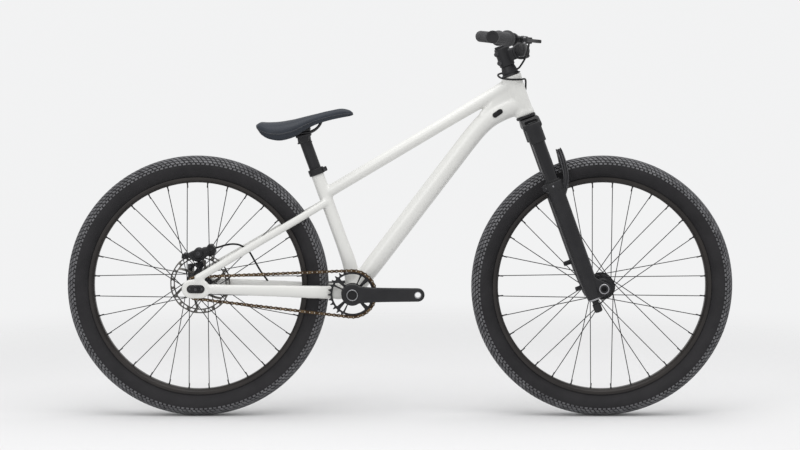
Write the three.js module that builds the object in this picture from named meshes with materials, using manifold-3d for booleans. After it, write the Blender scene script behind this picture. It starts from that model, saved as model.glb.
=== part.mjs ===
// A dirt jump bicycle with a rigid white frame, a suspension fork, one gear and a rear disc brake.
// Millimetres: +X forward, +Y to the rider's left, +Z up, from the ground midway between the axles.
import * as THREE from "three";
import { mergeVertices } from "three/addons/utils/BufferGeometryUtils.js";
import Module from "manifold-3d";

// Whole bicycle
const wheelbase = 1057;
const tyreRadius = 342;
const bottomBracketDrop = 15.5;
const headAngle = 70;
const seatAngle = 70.2;
const forkRake = 37;
const seatClearance = 0.3;
const cutOverrun = 5;
const weldDistance = 0.001;

// Chain drive
const chainPitch = 12.7;
const chainLinks = 86;
const ringTeeth = 30;
const cogTeeth = 14;
const chainLineOut = 12.5;
const rollerRadius = 3.88;
const rollerPlay = 0.12;
const plateHeight = 8.4;
const plateThickness = 1;
const chainInnerWidth = 3.4;
const toothThickness = 2.4;
const toothHeight = 3.7;
const toothTipWidth = 1.9;

// Wheels
const wheelSegments = 32;
const tyreWidth = 60;
const tyreCrownWidth = 14;
const tyreSideRadius = 316;
const tyreShoulderRadius = 335;
const tyreShoulderWidth = 42;
const rimRadius = 286;
const rimInnerRadius = 272;
const rimWidth = 32;
const rimFlangeThickness = 3;
const beadSeatRadius = 279;
const rimWellRadius = 276;
const rimSpokeBedWidth = 18;
const spokeCount = 32;
const spokeCrossings = 3;
const spokeSize = 2;
const spokeHeadOffset = 1.2;
const flangeRadius = 33;
const flangeSpokeRadius = 28.5;
const flangeThickness = 4;
const hubWaistRadius = 17;
const hubEndRadius = 20;
const hubBearingRadius = 15;
const hubBearingWidth = 7;
const hubLipWidth = 2;
const rearHubWidth = 135;
const frontFlangeOffset = 28;
const frontHubHalf = 37.5;
const frontSpacerRadius = 12.4;
const spokeRimOffset = 1.1;
const rearFlangeRight = 22;
const rearFlangeLeft = 34;

// Rear axle, driver, cog and rotor
const rearAxleRadius = 5;
const driverRadius = 15.5;
const driverInnerEnd = 34;
const driverRoom = 5.5;
const cogThickness = 4;
const rotorRadius = 80;
const rotorInset = 14;
const rotorThickness = 2;
const rotorTrackWidth = 13;
const rotorCarrierRadius = 27;
const rotorArmWidth = 7;
const rotorArms = 6;
const rotorSweep = 24;
const rotorHoleLength = 9;
const rotorHoleWidth = 4;
const rotorSeatRadius = 17.5;

// Bottom bracket and cranks
const shellRadius = 22.5;
const shellWidth = 73;
const shellBoreRadius = 18;
const cupRadius = 22;
const cupWidth = 10;
const cupSleeveLength = 18;
const spindleRadius = 12;
const spindleBoreRadius = 9.5;
const crankLength = 170;
const crankBossRadius = 28;
const crankArmHeight = 36;
const crankEndRadius = 17.4;
const crankArmThickness = 15;
const crankFaceOut = 43.5;
const crankBossDepth = 24;
const crankEdge = 2.5;
const crankSpiderRadius = 16;
const pedalThreadRadius = 7.2;
const crankCapRadius = 14.7;
const crankCapBoreRadius = 9;
const crankCapThickness = 3;
const ringRimWidth = 8.5;
const ringHubRadius = 29;
const ringArmWidth = 11;
const ringThinArmWidth = 5;
const ringArms = 4;
const ringThinArmTurn = 20;

// Frame
const headTubeLength = 111;
const headTubeRadius = 26;
const headTubeWaist = 24;
const headBoreRadius = 17;
const headCupSeatRadius = 22;
const headCupSeatDepth = 9;
const seatTubeLength = 342;
const seatTubeOffset = 19;
const seatTubeBend = 100;
const seatTubeRadius = 17;
const seatTubeFootRadius = 20.5;
const seatTubeTaper = 2.5;
const seatPostRadius = 15.45;
const seatBoreDepth = 200;
const seatSlotWidth = 2.5;
const seatSlotLength = 26;
const seatSlotEndRadius = 3;
const topTubeBelowCollar = 70;
const topTubeOnHead = 92;
const topTubeRadius = 15;
const topTubeHeadRadius = 17.5;
const topTubeFlareShare = 0.67;
const downTubeBelly = 4.31;
const downTubeBendLength = 200.6;
const downTubeOnHead = 34;
const downTubeLead = 110;
const downTubeTail = 90;
const downTubeHalfHeight = 23;
const downTubeHalfWidth = 22;
const downTubeFootInset = 7.5;
const downTubeHeadHalfHeight = 27;
const downTubeFlareShare = 0.8;
const downTubeFootShare = 0.14;
const tubeSink = 1;
const seatstayBelowCollar = 90;
const seatstayHalfHeight = 10.5;
const seatstayHalfWidth = 8;
const seatstayRootOffset = 12;
const seatstayBulge = 43;
const chainstayHalfWidth = 8.5;
const chainstayRootHalfHeight = 19;
const chainstayTipHalfHeight = 13;
const chainstayRootInset = 12.5;
const chainstayBulge = 44.5;
const dropoutThickness = 10;
const dropoutRadius = 25;
const dropoutLength = 24;
const dropoutSlotLength = 28;
const dropoutSlotWidth = 10.6;
const tensionerLength = 46;
const tensionerWidth = 21;
const tensionerThickness = 4;
const tensionerRecess = 3;
const axleNutRadius = 9;
const axleNutLength = 7;
const axleSpacerRadius = 8;
const discTabRise = 52;
const discTabWidth = 17;
const discTabBack = 24;
const discTabFoot = 2;
const tabStep = 4.2;
const portLength = 29;
const portWidth = 10.5;
const portDepth = 5;
const portProud = 1.5;
const portTilt = 5.3;
const portFromHead = 67;

// Headset, stem and handlebar, along and off the steering axis
const cupFlangeRadius = 26;
const cupFlangeLength = 8;
const cupInsertLength = 8;
const cupFlangeTaper = 3;
const steererRadius = 14.3;
const crownTop = 480;
const spacerLength = 20;
const spacerRadius = 21;
const spacerTopRadius = 17.5;
const upperCupHeight = 5;
const stemHeight = 50;
const stemRadius = 20;
const stemReach = 45;
const stemArmWidth = 34;
const stemArmHeight = 34;
const stemBoltOffset = 12;
const stemBoltRadius = 4.5;
const stemBoltSink = 0.5;
const stemSplit = 2.5;
const barClampRadius = 22;
const barClampWidth = 54;
const barRadius = 15.9;
const barEndRadius = 11.1;
const barClampLength = 84;
const barHalfWidth = 383;
const barBendOffset = 118;
const barRise = 30;
const barBackSweep = 15;
const barUpSweep = 7.5;
const barBendShare = 0.85;
const topCapRadius = 17.5;
const topCapThickness = 5;
const faceplateBoltRadius = 3;
const faceplateBoltAcross = 20;
const faceplateBoltRise = 18;
const faceplateGap = 1.5;
const gripLength = 142;
const gripRadius = 15.6;
const gripFlangeRadius = 21;
const gripFlangeThickness = 4;
const gripRibs = 6;
const gripRibDepth = 1.1;
const plugThickness = 4;

// Brake lever, caliper and hose
const leverFromGrip = 51;
const leverClampRadius = 16.5;
const leverClampLength = 14;
const leverBodyLength = 66;
const leverBodyRadius = 9.5;
const leverBodyOffset = 26;
const leverPivotRadius = 8;
const leverPivotPinRadius = 3;
const leverPivotBack = -22;
const leverPivotForward = 10;
const leverPivotReach = 30;
const leverEarThickness = 3;
const leverBladeLength = 92;
const leverBladeThickness = 9;
const leverBladeWidth = 10;
const leverBladeTipRadius = 7;
const leverBladeBow = 8;
const leverYokeGap = 0.6;
const leverSwingRoom = 2.5;
const bladeRootShare = 0.25;
const bladeMiddleShare = 0.5;
const bladeBendShare = 0.8;
const bladeCrownShare = 1.6;
const leverAngle = 24;
const caliperLength = 62;
const caliperHeight = 34;
const caliperWidth = 36;
const caliperSlot = 6;
const caliperPistonRadius = 14;
const caliperTurn = 12;
const caliperBack = 3.5;
const caliperRise = 81;
const caliperBossProud = 3;
const caliperBridge = 8;
const caliperBanjoRadius = 5.5;
const bracketThickness = 5.5;
const bracketWidth = 9;
const bracketRise = 62;
const bracketReach = 16;
const bracketFall = 11;
const hoseRadius = 2.5;
const hoseSides = 6;

// Fork
const legOffset = 62;
const legForward = 5;
const stanchionRadius = 17.5;
const stanchionFoot = 150;
const socketRadius = 22;
const socketFoot = 415;
const socketTop = 467;
const crownUnderside = 453;
const crownHalfDepth = 26;
const crownShoulder = 12;
const crownPocket = 8;
const crownArch = 4;
const crownEdge = 4;
const lowersTop = 307;
const lowerLegRadius = 22.3;
const lowersBoreDepth = 262;
const legFoot = 21;
const legFootRadius = 15;
const lowerLegTaperRadius = 19;
const legTaperLength = 40;
const legCollar = 18;
const legCollarProud = 1.2;
const sealLength = 5;
const sealRadius = 20.5;
const sealLip = 1.5;
const archHalfHeight = 11;
const archHalfDepth = 9;
const archRise = 100;
const archForward = 46;
const archRoot = 40;
// Places along half the arch, as shares of its reach forward, of the legs' offset and of its rise
const archShares = [[0.3, 1, 0], [0.8, 0.86, 0.34], [1, 0.45, 0.84], [1, 0, 1]];
const axleLugRadius = 17;
const axleLugInner = 55;
const axleLugThickness = 18;
const frontAxleRadius = 9.6;
const frontAxleBoreRadius = 6.5;
const axleRingRadius = 13;
const axleRingThickness = 3;
const postMountSpacing = 74;
const postMountMid = 44;
const postMountReach = 31;
const postMountRadius = 8;
const postMountInward = 9;
const knobRadius = 8.5;
const knobLength = 32;
const knobWaistRadius = 6;
const knobChamferShare = 0.85;
const knobShoulderShare = 0.33;
const knobNeckShare = 0.25;

// Seatpost and saddle
const postInsertion = 130;
const postHeadOffset = 87;
const postHeadRadius = 13;
const collarHeight = 15;
const collarRadius = 20.5;
const collarLip = 1.5;
const collarEarReach = 29;
const collarEarWidth = 16;
const collarBoltRadius = 3;
const collarBoltLength = 26;
const railRadius = 3.5;
const railSpacing = 44;
const railHeight = 13.5;
const railRearReach = 88;
const railRearHeight = 42;
const railFrontReach = 60;
const railFrontHeight = 51;
const railNoseSpacing = 26;
// The rails' bends, as shares of their reach and rise behind the clamp and of reach, turn-in and rise ahead
const railRearShares = [[1, 1], [0.88, 0.5], [0.7, 0.1]];
const railFrontShares = [[0.55, 0.5, 0.3], [1, 1, 1]];
const clampLength = 40;
const clampWidth = 56;
const clampThickness = 7;
const clampBoltRadius = 2.5;
const clampBoltDrop = 28;
const saddleLength = 252;
const saddleWidth = 136;
const saddleTilt = 9;
const saddleRearReach = 116;
const saddleHeight = 60;

// Routes of the two visible stretches of the rear brake's hose, in the bicycle's frame
const rearHoseRoute = [
  [-496.6, 53.5, 434.5], [-480, 53, 438.5], [-460, 50, 444.5], [-442, 46, 447.5], [-422, 43, 445],
  [-400, 43, 430], [-383, 45, 402], [-368, 49, 375], [-357, 53.5, 359], [-351, 55.5, 350.5],
  [-347.5, 56.7, 345.5],
];
const frontHoseRoute = [
  [321.6, -147.2, 983.3], [324.4, -138, 982.8], [327.7, -118, 975.5], [326.9, -90, 960.3],
  [321.5, -56, 937.1],
  [313.7, -26, 920.4], [307.7, 5, 910.8], [293.6, 29, 902.5], [271.6, 27, 898.7], [255.3, 6, 893.8],
  [262.5, -21, 885.8], [288.2, -32, 882.4], [311.6, -25, 882.4], [325.5, 0, 882.2], [327.8, 16, 867],
  [327, 24, 851.8], [318.6, 31, 833.9], [299.7, 33.5, 818.5], [282, 31, 808.8], [268.4, 27, 802.3],
  [261, 23.5, 799.1],
];
const rearHoseSteps = 18;
const frontHoseSteps = 38;

// Facets of round pieces and of bends
const tubeSides = 12;
const staySides = 8;
const fineSides = 14;
const smallSides = 10;
const boltSides = 6;
const nutSides = 6;
const bodySides = 16;
const strutSides = 3;
const bendSteps = 4;
const dropoutBendSteps = 3;
const slotBendSteps = 2;
const crankBendSteps = 6;
const bladeBendSteps = 3;
const seatTubeSteps = 4;
const downTubeSteps = 7;
const topTubeSteps = 3;
const seatstaySteps = 9;
const chainstaySteps = 7;
const archSteps = 8;
const railSteps = 12;
const barSteps = 20;
const rotorArcSteps = 2;
const innerEndTurns = [-Math.PI / 3.2, Math.PI / 3.2];
const outerEndTurns = [-Math.PI / 2.8, 0, Math.PI / 2.8];

const { cos, sin, tan, sqrt, asin, atan2, PI } = Math;
const rad = THREE.MathUtils.degToRad;
const v3 = (x = 0, y = 0, z = 0) => new THREE.Vector3(x, y, z);
const v2 = (x, y) => new THREE.Vector2(x, y);
const lerp = THREE.MathUtils.lerp;
const wasm = await Module();
wasm.setup();

// Places that follow from the driving sizes
const rearAxle = v3(-wheelbase / 2, 0, tyreRadius);
const frontAxle = v3(wheelbase / 2, 0, tyreRadius);
const headTilt = rad(90 - headAngle);
const seatTilt = rad(90 - seatAngle);
const steerUp = v3(-sin(headTilt), 0, cos(headTilt));
const steerForward = v3(cos(headTilt), 0, sin(headTilt));
const steerFoot = frontAxle.clone().addScaledVector(steerForward, -forkRake);
const onSteer = (up, forward = 0, left = 0) =>
  steerFoot.clone().addScaledVector(steerUp, up).addScaledVector(steerForward, forward).add(v3(0, left));

const chainLine = shellWidth / 2 + chainLineOut;
const crankOuterFace = shellWidth / 2 + crankFaceOut;
const driverOuterEnd = rearHubWidth / 2 - driverRoom;
const ringPitchRadius = chainPitch / (2 * sin(PI / ringTeeth));
const cogPitchRadius = chainPitch / (2 * sin(PI / cogTeeth));
const drive = driveLayout();
const bracket = v3(
  rearAxle.x + sqrt(drive.centreDistance ** 2 - bottomBracketDrop ** 2),
  0,
  rearAxle.z - bottomBracketDrop,
);
const onSeat = (up) =>
  v3(bracket.x + seatTubeOffset - up * sin(seatTilt), 0, bracket.z + up * cos(seatTilt));

// The centre distance at which the chain closes, with its straight runs and wraps counted in links.
function driveLayout() {
  const step = ringPitchRadius - cogPitchRadius;
  let centreDistance = ((chainLinks - (ringTeeth + cogTeeth) / 2) * chainPitch) / 2;
  let lean = 0;
  let straight = centreDistance;
  for (let pass = 0; pass < 12; pass++) {
    lean = asin(step / centreDistance);
    const wrapped = (ringTeeth * (PI + 2 * lean) + cogTeeth * (PI - 2 * lean)) / (2 * PI);
    straight = ((chainLinks - wrapped) * chainPitch) / 2;
    centreDistance = sqrt(straight ** 2 + step ** 2);
  }
  return { centreDistance, lean, straightLinks: straight / chainPitch };
}

// Closed geometry as a solid that can be joined and cut.
function solid(geometry) {
  const bare = geometry.clone();
  bare.deleteAttribute("normal");
  bare.deleteAttribute("uv");
  const merged = mergeVertices(bare, weldDistance);
  const faces = [];
  for (let i = 0; i < merged.index.count; i += 3) {
    const [a, b, c] = [0, 1, 2].map((corner) => merged.index.getX(i + corner));
    if (a !== b && b !== c && c !== a) faces.push([a, b, c]);
  }
  const build = (list) =>
    new wasm.Manifold(
      new wasm.Mesh({
        numProp: 3,
        vertProperties: merged.attributes.position.array,
        triVerts: new Uint32Array(list.flat()),
      }),
    );
  const made = build(faces);
  return made.volume() > 0 ? made : build(faces.map(([a, b, c]) => [a, c, b]));
}

const join = (...solids) => solids.flat().reduce((whole, piece) => whole.add(piece));
const cut = (whole, ...tools) => tools.flat().reduce((left, tool) => left.subtract(tool), whole);

// A closed profile of [radius, place] pairs turned about the Y axis.
function turned(profile, segments = fineSides) {
  const points = profile.map(([radius, place]) => v2(radius, place));
  return new THREE.LatheGeometry(points, segments, PI / segments);
}

// The same turned piece with its axis along Z.
const turnedUp = (profile, segments) => turned(profile, segments).rotateX(PI / 2);

const drum = (radius, from, to, segments) =>
  turned([[0, from], [radius, from], [radius, to], [0, to]], segments);
const post = (radius, from, to, segments) => drum(radius, from, to, segments).rotateX(PI / 2);
// A bore wide enough for a round of the given radius, measured across its facets.
const boreFor = (radius, segments = fineSides) => (radius + seatClearance) / cos(PI / segments);
const sleeve = (outer, inner, from, to, segments) =>
  turned([[inner, from], [outer, from], [outer, to], [inner, to], [inner, from]], segments);

// A side-view outline given thickness from one Y to another.
function sidePlate(shape, fromY, toY) {
  const depth = Math.abs(toY - fromY);
  const options = { depth, bevelEnabled: false, curveSegments: bendSteps };
  return new THREE.ExtrudeGeometry(shape, options).rotateX(PI / 2).translate(0, Math.max(fromY, toY), 0);
}

function outline(points) {
  return new THREE.Shape(points.map(([x, y]) => v2(x, y)));
}

// A straight-sided slot or bar with round ends, centred on a point and turned by an angle.
function slotOutline(length, width, x = 0, y = 0, turn = 0, endSteps = bendSteps) {
  const points = [];
  for (const end of [1, -1]) {
    for (let step = 0; step <= endSteps; step++) {
      const angle = (step / endSteps - 1 / 2) * PI;
      const along = end * ((length - width) / 2 + (width / 2) * cos(angle));
      const across = end * (width / 2) * sin(angle);
      points.push([
        x + along * cos(turn) - across * sin(turn),
        y + along * sin(turn) + across * cos(turn),
      ]);
    }
  }
  return outline(points);
}

// A skin over rings of points, closed by flat ends.
function loft(rings) {
  const sides = rings[0].length;
  const faces = [];
  for (let ring = 0; ring + 1 < rings.length; ring++) {
    for (let side = 0; side < sides; side++) {
      const a = ring * sides + side;
      const b = ring * sides + ((side + 1) % sides);
      faces.push(a, b, b + sides, a, b + sides, a + sides);
    }
  }
  const last = (rings.length - 1) * sides;
  for (let side = 1; side + 1 < sides; side++) {
    faces.push(0, side + 1, side);
    faces.push(last, last + side, last + side + 1);
  }
  const skin = new THREE.BufferGeometry();
  const places = rings.flat().flatMap((point) => point.toArray());
  skin.setAttribute("position", new THREE.Float32BufferAttribute(places, 3));
  skin.setIndex(faces);
  return skin;
}

// A tube whose oval section changes along a curve; sizeAt gives [half width, half height] at a share of it.
function ovalTube(curve, up, sizeAt, steps, sides) {
  const rings = [];
  for (let step = 0; step <= steps; step++) {
    const share = step / steps;
    const centre = curve.getPointAt(share);
    const along = curve.getTangentAt(share);
    const side = v3().crossVectors(along, up).normalize();
    const top = v3().crossVectors(side, along);
    const [halfWidth, halfHeight] = sizeAt(share);
    const ring = [];
    for (let i = 0; i < sides; i++) {
      const angle = ((i + 1 / 2) * 2 * PI) / sides;
      const onSide = centre.clone().addScaledVector(side, halfWidth * cos(angle));
      ring.push(onSide.addScaledVector(top, halfHeight * sin(angle)));
    }
    rings.push(ring);
  }
  return loft(rings);
}

// A round rod or hose of one radius along a curve.
function rod(curve, radius, steps, sides) {
  const corner = (i) => v2(radius * cos((2 * PI * i) / sides), radius * sin((2 * PI * i) / sides));
  const section = new THREE.Shape(Array.from({ length: sides }, (_, i) => corner(i)));
  return new THREE.ExtrudeGeometry(section, { extrudePath: curve, steps });
}

const smooth = (points) => new THREE.CatmullRomCurve3(points, false, "centripetal");
const line = (from, to) => new THREE.LineCurve3(from, to);
const atSteer = (geometry) => geometry.rotateY(-headTilt).translate(...steerFoot.toArray());
const atSeat = (geometry) => geometry.rotateY(-seatTilt).translate(...onSeat(0).toArray());
const at = (geometry, place) => geometry.translate(place.x, place.y, place.z);

const finishes = {
  frameWhite: { color: 0xebece8, roughness: 0.35, metalness: 0 },
  satinBlack: { color: 0x1b1c1e, roughness: 0.45, metalness: 0.3 },
  glossBlack: { color: 0x101113, roughness: 0.15, metalness: 0.4 },
  rimBlack: { color: 0x1d1918, roughness: 0.4, metalness: 0.3 },
  tyreGrey: { color: 0x34353a, roughness: 0.9, metalness: 0 },
  rubberBlack: { color: 0x1a1b1d, roughness: 0.8, metalness: 0 },
  saddleSlate: { color: 0x272a31, roughness: 0.6, metalness: 0 },
  steel: { color: 0x8d9096, roughness: 0.35, metalness: 0.9 },
  chainBronze: { color: 0x6b5640, roughness: 0.4, metalness: 0.8 },
};
const materials = Object.fromEntries(
  Object.entries(finishes).map(([name, values]) => [name, new THREE.MeshStandardMaterial(values)]),
);

function geometryOf(body) {
  const { vertProperties, triVerts } = body.getMesh();
  const geometry = new THREE.BufferGeometry();
  geometry.setAttribute("position", new THREE.BufferAttribute(vertProperties, 3));
  geometry.setIndex(new THREE.BufferAttribute(triVerts, 1));
  return geometry;
}

function addMesh(group, name, body, material) {
  const mesh = new THREE.Mesh(geometryOf(body), material);
  mesh.name = name;
  group.add(mesh);
}

const sides = [["right", -1], ["left", 1]];

const route = (points) => smooth(points.map((point) => v3(...point)));
const rearHoseLine = route(rearHoseRoute);
const frontHoseLine = route(frontHoseRoute);

// The straight last stretch of a hose, run on past its end.
function hoseEnd(points) {
  const [from, to] = points.slice(-2).map((point) => v3(...point));
  const way = v3().subVectors(to, from).normalize();
  return line(from.addScaledVector(way, -cutOverrun), to.addScaledVector(way, cutOverrun));
}
const rearHoseEnd = hoseEnd(rearHoseRoute);
const frontHoseEnd = hoseEnd(frontHoseRoute);

// Pin number k of the chain, counted from the top of the chainring towards the cog.
function pinPlace(k) {
  const { centreDistance, lean, straightLinks } = drive;
  const back = atan2(rearAxle.z - bracket.z, rearAxle.x - bracket.x);
  const topAngle = back - PI / 2 + lean;
  const lowAngle = back + PI / 2 - lean;
  const cogLinks = (cogTeeth * (PI - 2 * lean)) / (2 * PI);
  const onRing = (angle) => [
    bracket.x + ringPitchRadius * cos(angle),
    bracket.z + ringPitchRadius * sin(angle),
  ];
  const onCog = (angle) => [
    bracket.x + centreDistance * cos(back) + cogPitchRadius * cos(angle),
    bracket.z + centreDistance * sin(back) + cogPitchRadius * sin(angle),
  ];
  const between = (from, to, share) => from.map((value, i) => lerp(value, to[i], share));
  if (k < straightLinks) return between(onRing(topAngle), onCog(topAngle), k / straightLinks);
  const pastTop = k - straightLinks;
  if (pastTop < cogLinks) return onCog(topAngle + (pastTop * 2 * PI) / cogTeeth);
  const pastCog = pastTop - cogLinks;
  if (pastCog < straightLinks) return between(onCog(lowAngle), onRing(lowAngle), pastCog / straightLinks);
  return onRing(lowAngle + ((pastCog - straightLinks) * 2 * PI) / ringTeeth);
}

// The angle about a sprocket's centre of the first pin that lies on it.
function seatPhase(centre, pitchRadius) {
  for (let k = 0; k < chainLinks; k++) {
    const [x, z] = pinPlace(k);
    const reach = sqrt((x - centre.x) ** 2 + (z - centre.z) ** 2);
    if (Math.abs(reach - pitchRadius) < weldDistance) return atan2(z - centre.z, x - centre.x);
  }
  return 0;
}

// A link from pin to pin, its ends drawn about the pins.
function linkOutline(height, endTurns) {
  const points = [];
  for (const end of [1, -1]) {
    for (const turn of endTurns) {
      points.push([(end * (chainPitch + height * cos(turn))) / 2, (end * height * sin(turn)) / 2]);
    }
  }
  return outline(points);
}

// Inner links stay open between their rollers, where the teeth stand, and outer plates clasp them.
function chainBody() {
  const innerHalf = chainInnerWidth / 2 + plateThickness;
  const windowLength = chainPitch - 2 * rollerRadius * cos(innerEndTurns[0]);
  const inner = cut(
    solid(sidePlate(linkOutline(2 * rollerRadius, innerEndTurns), -innerHalf, innerHalf)),
    solid(new THREE.BoxGeometry(windowLength, chainInnerWidth, plateHeight)),
  );
  const innerMesh = geometryOf(inner);
  const outerShape = linkOutline(plateHeight, outerEndTurns);
  const outer = (side) =>
    sidePlate(outerShape, side * (innerHalf - weldDistance), side * (innerHalf + plateThickness));
  const pieces = [];
  for (let k = 0; k < chainLinks; k++) {
    const [fromX, fromZ] = pinPlace(k);
    const [toX, toZ] = pinPlace((k + 1) % chainLinks);
    const turn = -atan2(toZ - fromZ, toX - fromX);
    const link = k % 2 ? [outer(-1), outer(1)] : [innerMesh.clone()];
    for (const piece of link) {
      piece.rotateY(turn).translate((fromX + toX) / 2, -chainLine, (fromZ + toZ) / 2);
      pieces.push(solid(piece));
    }
  }
  return join(pieces);
}

// A sprocket's edge, with a round seat for each roller and a blunt tooth between two seats.
function toothedOutline(teeth, pitchRadius, phase) {
  const seatRadius = (rollerRadius + rollerPlay) / cos(PI / 6);
  const tipRadius = pitchRadius + toothHeight;
  const points = [];
  const push = (radius, across, angle) =>
    points.push([radius * cos(angle) - across * sin(angle), radius * sin(angle) + across * cos(angle)]);
  for (let tooth = 0; tooth < teeth; tooth++) {
    const angle = phase + (tooth * 2 * PI) / teeth;
    for (const turn of [-PI / 3, 0, PI / 3]) {
      push(pitchRadius - seatRadius * cos(turn), seatRadius * sin(turn), angle);
    }
    for (const side of [-1, 1]) push(tipRadius, (side * toothTipWidth) / 2, angle + PI / teeth);
  }
  return points;
}

// The chainring: teeth, a rim, four broad and four thin arms and the window between each two.
function chainringBody() {
  const phase = seatPhase(bracket, ringPitchRadius);
  const shape = outline(toothedOutline(ringTeeth, ringPitchRadius, phase));
  const windowOuter = ringPitchRadius - plateHeight / 2 - ringRimWidth;
  shape.holes.push(roundHole(boreFor(crankSpiderRadius), fineSides));
  const quarter = (2 * PI) / ringArms;
  const halfArm = asin(ringArmWidth / 2 / windowOuter);
  const halfThin = asin(ringThinArmWidth / 2 / windowOuter);
  for (let arm = 0; arm < ringArms; arm++) {
    const middle = quarter / 2 + arm * quarter;
    const thin = middle + rad(ringThinArmTurn);
    shape.holes.push(ringWindow(middle + halfArm, thin - halfThin, windowOuter));
    shape.holes.push(ringWindow(thin + halfThin, middle + quarter - halfArm, windowOuter));
  }
  return solid(sidePlate(shape, -toothThickness / 2, toothThickness / 2));
}

// A round hole in an outline, with the facets of a turned piece.
function roundHole(radius, segments) {
  const turn = (i) => ((i + 1 / 2) * 2 * PI) / segments;
  const corner = (i) => v2(radius * cos(turn(i)), radius * sin(turn(i)));
  return new THREE.Path(Array.from({ length: segments }, (_, i) => corner(i)));
}

function ringWindow(fromAngle, toAngle, outerRadius) {
  const steps = Math.max(1, Math.round((toAngle - fromAngle) / (PI / fineSides) / 2));
  const points = [];
  for (const radius of [ringHubRadius, outerRadius]) {
    for (let step = 0; step <= steps; step++) {
      const share = radius === ringHubRadius ? step / steps : 1 - step / steps;
      const angle = lerp(fromAngle, toAngle, share);
      points.push(v2(radius * cos(angle), radius * sin(angle)));
    }
  }
  return new THREE.Path(points);
}

// The cog and the driver that it sits on.
function cogBody() {
  const phase = seatPhase(rearAxle, cogPitchRadius);
  const shape = outline(toothedOutline(cogTeeth, cogPitchRadius, phase));
  const teeth = solid(sidePlate(shape, -chainLine - toothThickness / 2, -chainLine + toothThickness / 2));
  const cogHubRadius = driverRadius + cogThickness;
  const driver = solid(
    turned([
      [0, -driverOuterEnd], [driverRadius, -driverOuterEnd], [driverRadius, -chainLine - cogThickness],
      [cogHubRadius, -chainLine - cogThickness], [cogHubRadius, -chainLine + cogThickness],
      [driverRadius, -chainLine + cogThickness], [driverRadius, -driverInnerEnd], [0, -driverInnerEnd],
    ]),
  );
  const bore = solid(drum(boreFor(rearAxleRadius, smallSides), -driverOuterEnd - cutOverrun, 0, smallSides));
  return cut(join(driver, teeth), bore);
}

// The tyre seats in the rim, and a flat facet of its crown meets the ground.
function tyreBody() {
  const bead = rimWidth / 2 - rimFlangeThickness - seatClearance;
  const half = [
    [beadSeatRadius + seatClearance, bead],
    [rimRadius + seatClearance, bead],
    [tyreSideRadius, tyreWidth / 2],
    [tyreShoulderRadius, tyreShoulderWidth / 2],
    [tyreRadius, tyreCrownWidth / 2],
  ];
  const right = half.map(([radius, place]) => [radius, -place]);
  return solid(wheelTurned([...right, ...half.toReversed(), right[0]]));
}

// Every ring of a wheel has the same facets, so the outer radius is the one at a facet's middle.
function wheelTurned(profile) {
  const stretch = 1 / cos(PI / wheelSegments);
  return turned(profile.map(([radius, place]) => [radius * stretch, place]), wheelSegments);
}

function rimBody() {
  const seat = rimWidth / 2 - rimFlangeThickness;
  const half = [
    [rimInnerRadius, rimSpokeBedWidth / 2],
    [beadSeatRadius, rimWidth / 2],
    [rimRadius, rimWidth / 2],
    [rimRadius, seat],
    [rimWellRadius, seat],
  ];
  const right = half.map(([radius, place]) => [radius, -place]);
  return solid(wheelTurned([...right, ...half.toReversed(), right[0]]));
}

// A three-sided rod between two points.
function strut(from, to, size) {
  const along = v3().subVectors(to, from);
  const bar = new THREE.CylinderGeometry(size / 2, size / 2, along.length(), strutSides);
  bar.applyQuaternion(new THREE.Quaternion().setFromUnitVectors(v3(0, 1), along.clone().normalize()));
  return at(bar, from.clone().lerp(to, 1 / 2));
}

// Spokes leave each flange by turns forward and backward and cross three others on their way to the rim.
function spokes(flanges) {
  const perFlange = spokeCount / 2;
  const holeStep = (2 * PI) / perFlange;
  const rimTurn = (spokeCrossings * 4 * PI) / spokeCount;
  const pieces = [];
  flanges.forEach((flange, which) => {
    for (let hole = 0; hole < perFlange; hole++) {
      const way = hole % 2 ? -1 : 1;
      const angle = hole * holeStep + (which * holeStep) / 2;
      const hubSide = flange + way * spokeHeadOffset;
      const onHub = v3(flangeSpokeRadius * cos(angle), hubSide, flangeSpokeRadius * sin(angle));
      const rimAngle = angle + way * rimTurn;
      const reach = rimInnerRadius - seatClearance;
      const onRim = v3(reach * cos(rimAngle), way * spokeRimOffset, reach * sin(rimAngle));
      pieces.push(solid(strut(onHub, onRim, spokeSize)));
    }
  });
  return pieces;
}

// A hub shell with its spokes: a waist, two flanges and a bore that holds a bearing at each end.
function hubBody(rightEnd, leftEnd, rightFlange, leftFlange, boreRadius, leftSeat) {
  const halfFlange = flangeThickness / 2;
  const pocket = hubBearingWidth + seatClearance;
  const profile = [
    [boreRadius, rightEnd + pocket],
    [hubBearingRadius + seatClearance, rightEnd + pocket],
    [hubBearingRadius + seatClearance, rightEnd],
    [hubEndRadius, rightEnd],
    [hubEndRadius, rightFlange - halfFlange],
    [flangeRadius, rightFlange - halfFlange],
    [flangeRadius, rightFlange + halfFlange],
    [hubWaistRadius, rightFlange + 2 * flangeThickness],
    [hubWaistRadius, leftFlange - 2 * flangeThickness],
    [flangeRadius, leftFlange - halfFlange],
    [flangeRadius, leftFlange + halfFlange],
    [hubEndRadius, leftFlange + halfFlange],
    [hubEndRadius, leftSeat],
    [hubBearingRadius + hubLipWidth, leftSeat],
    [hubBearingRadius + hubLipWidth, leftEnd],
    [hubBearingRadius + seatClearance, leftEnd],
    [hubBearingRadius + seatClearance, leftEnd - pocket],
    [boreRadius, leftEnd - pocket],
    [boreRadius, rightEnd + pocket],
  ];
  return join(solid(turned(profile)), spokes([rightFlange, leftFlange]));
}

const bearingBody = (innerRadius, from) =>
  solid(sleeve(hubBearingRadius, innerRadius, from, from + hubBearingWidth));

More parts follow.
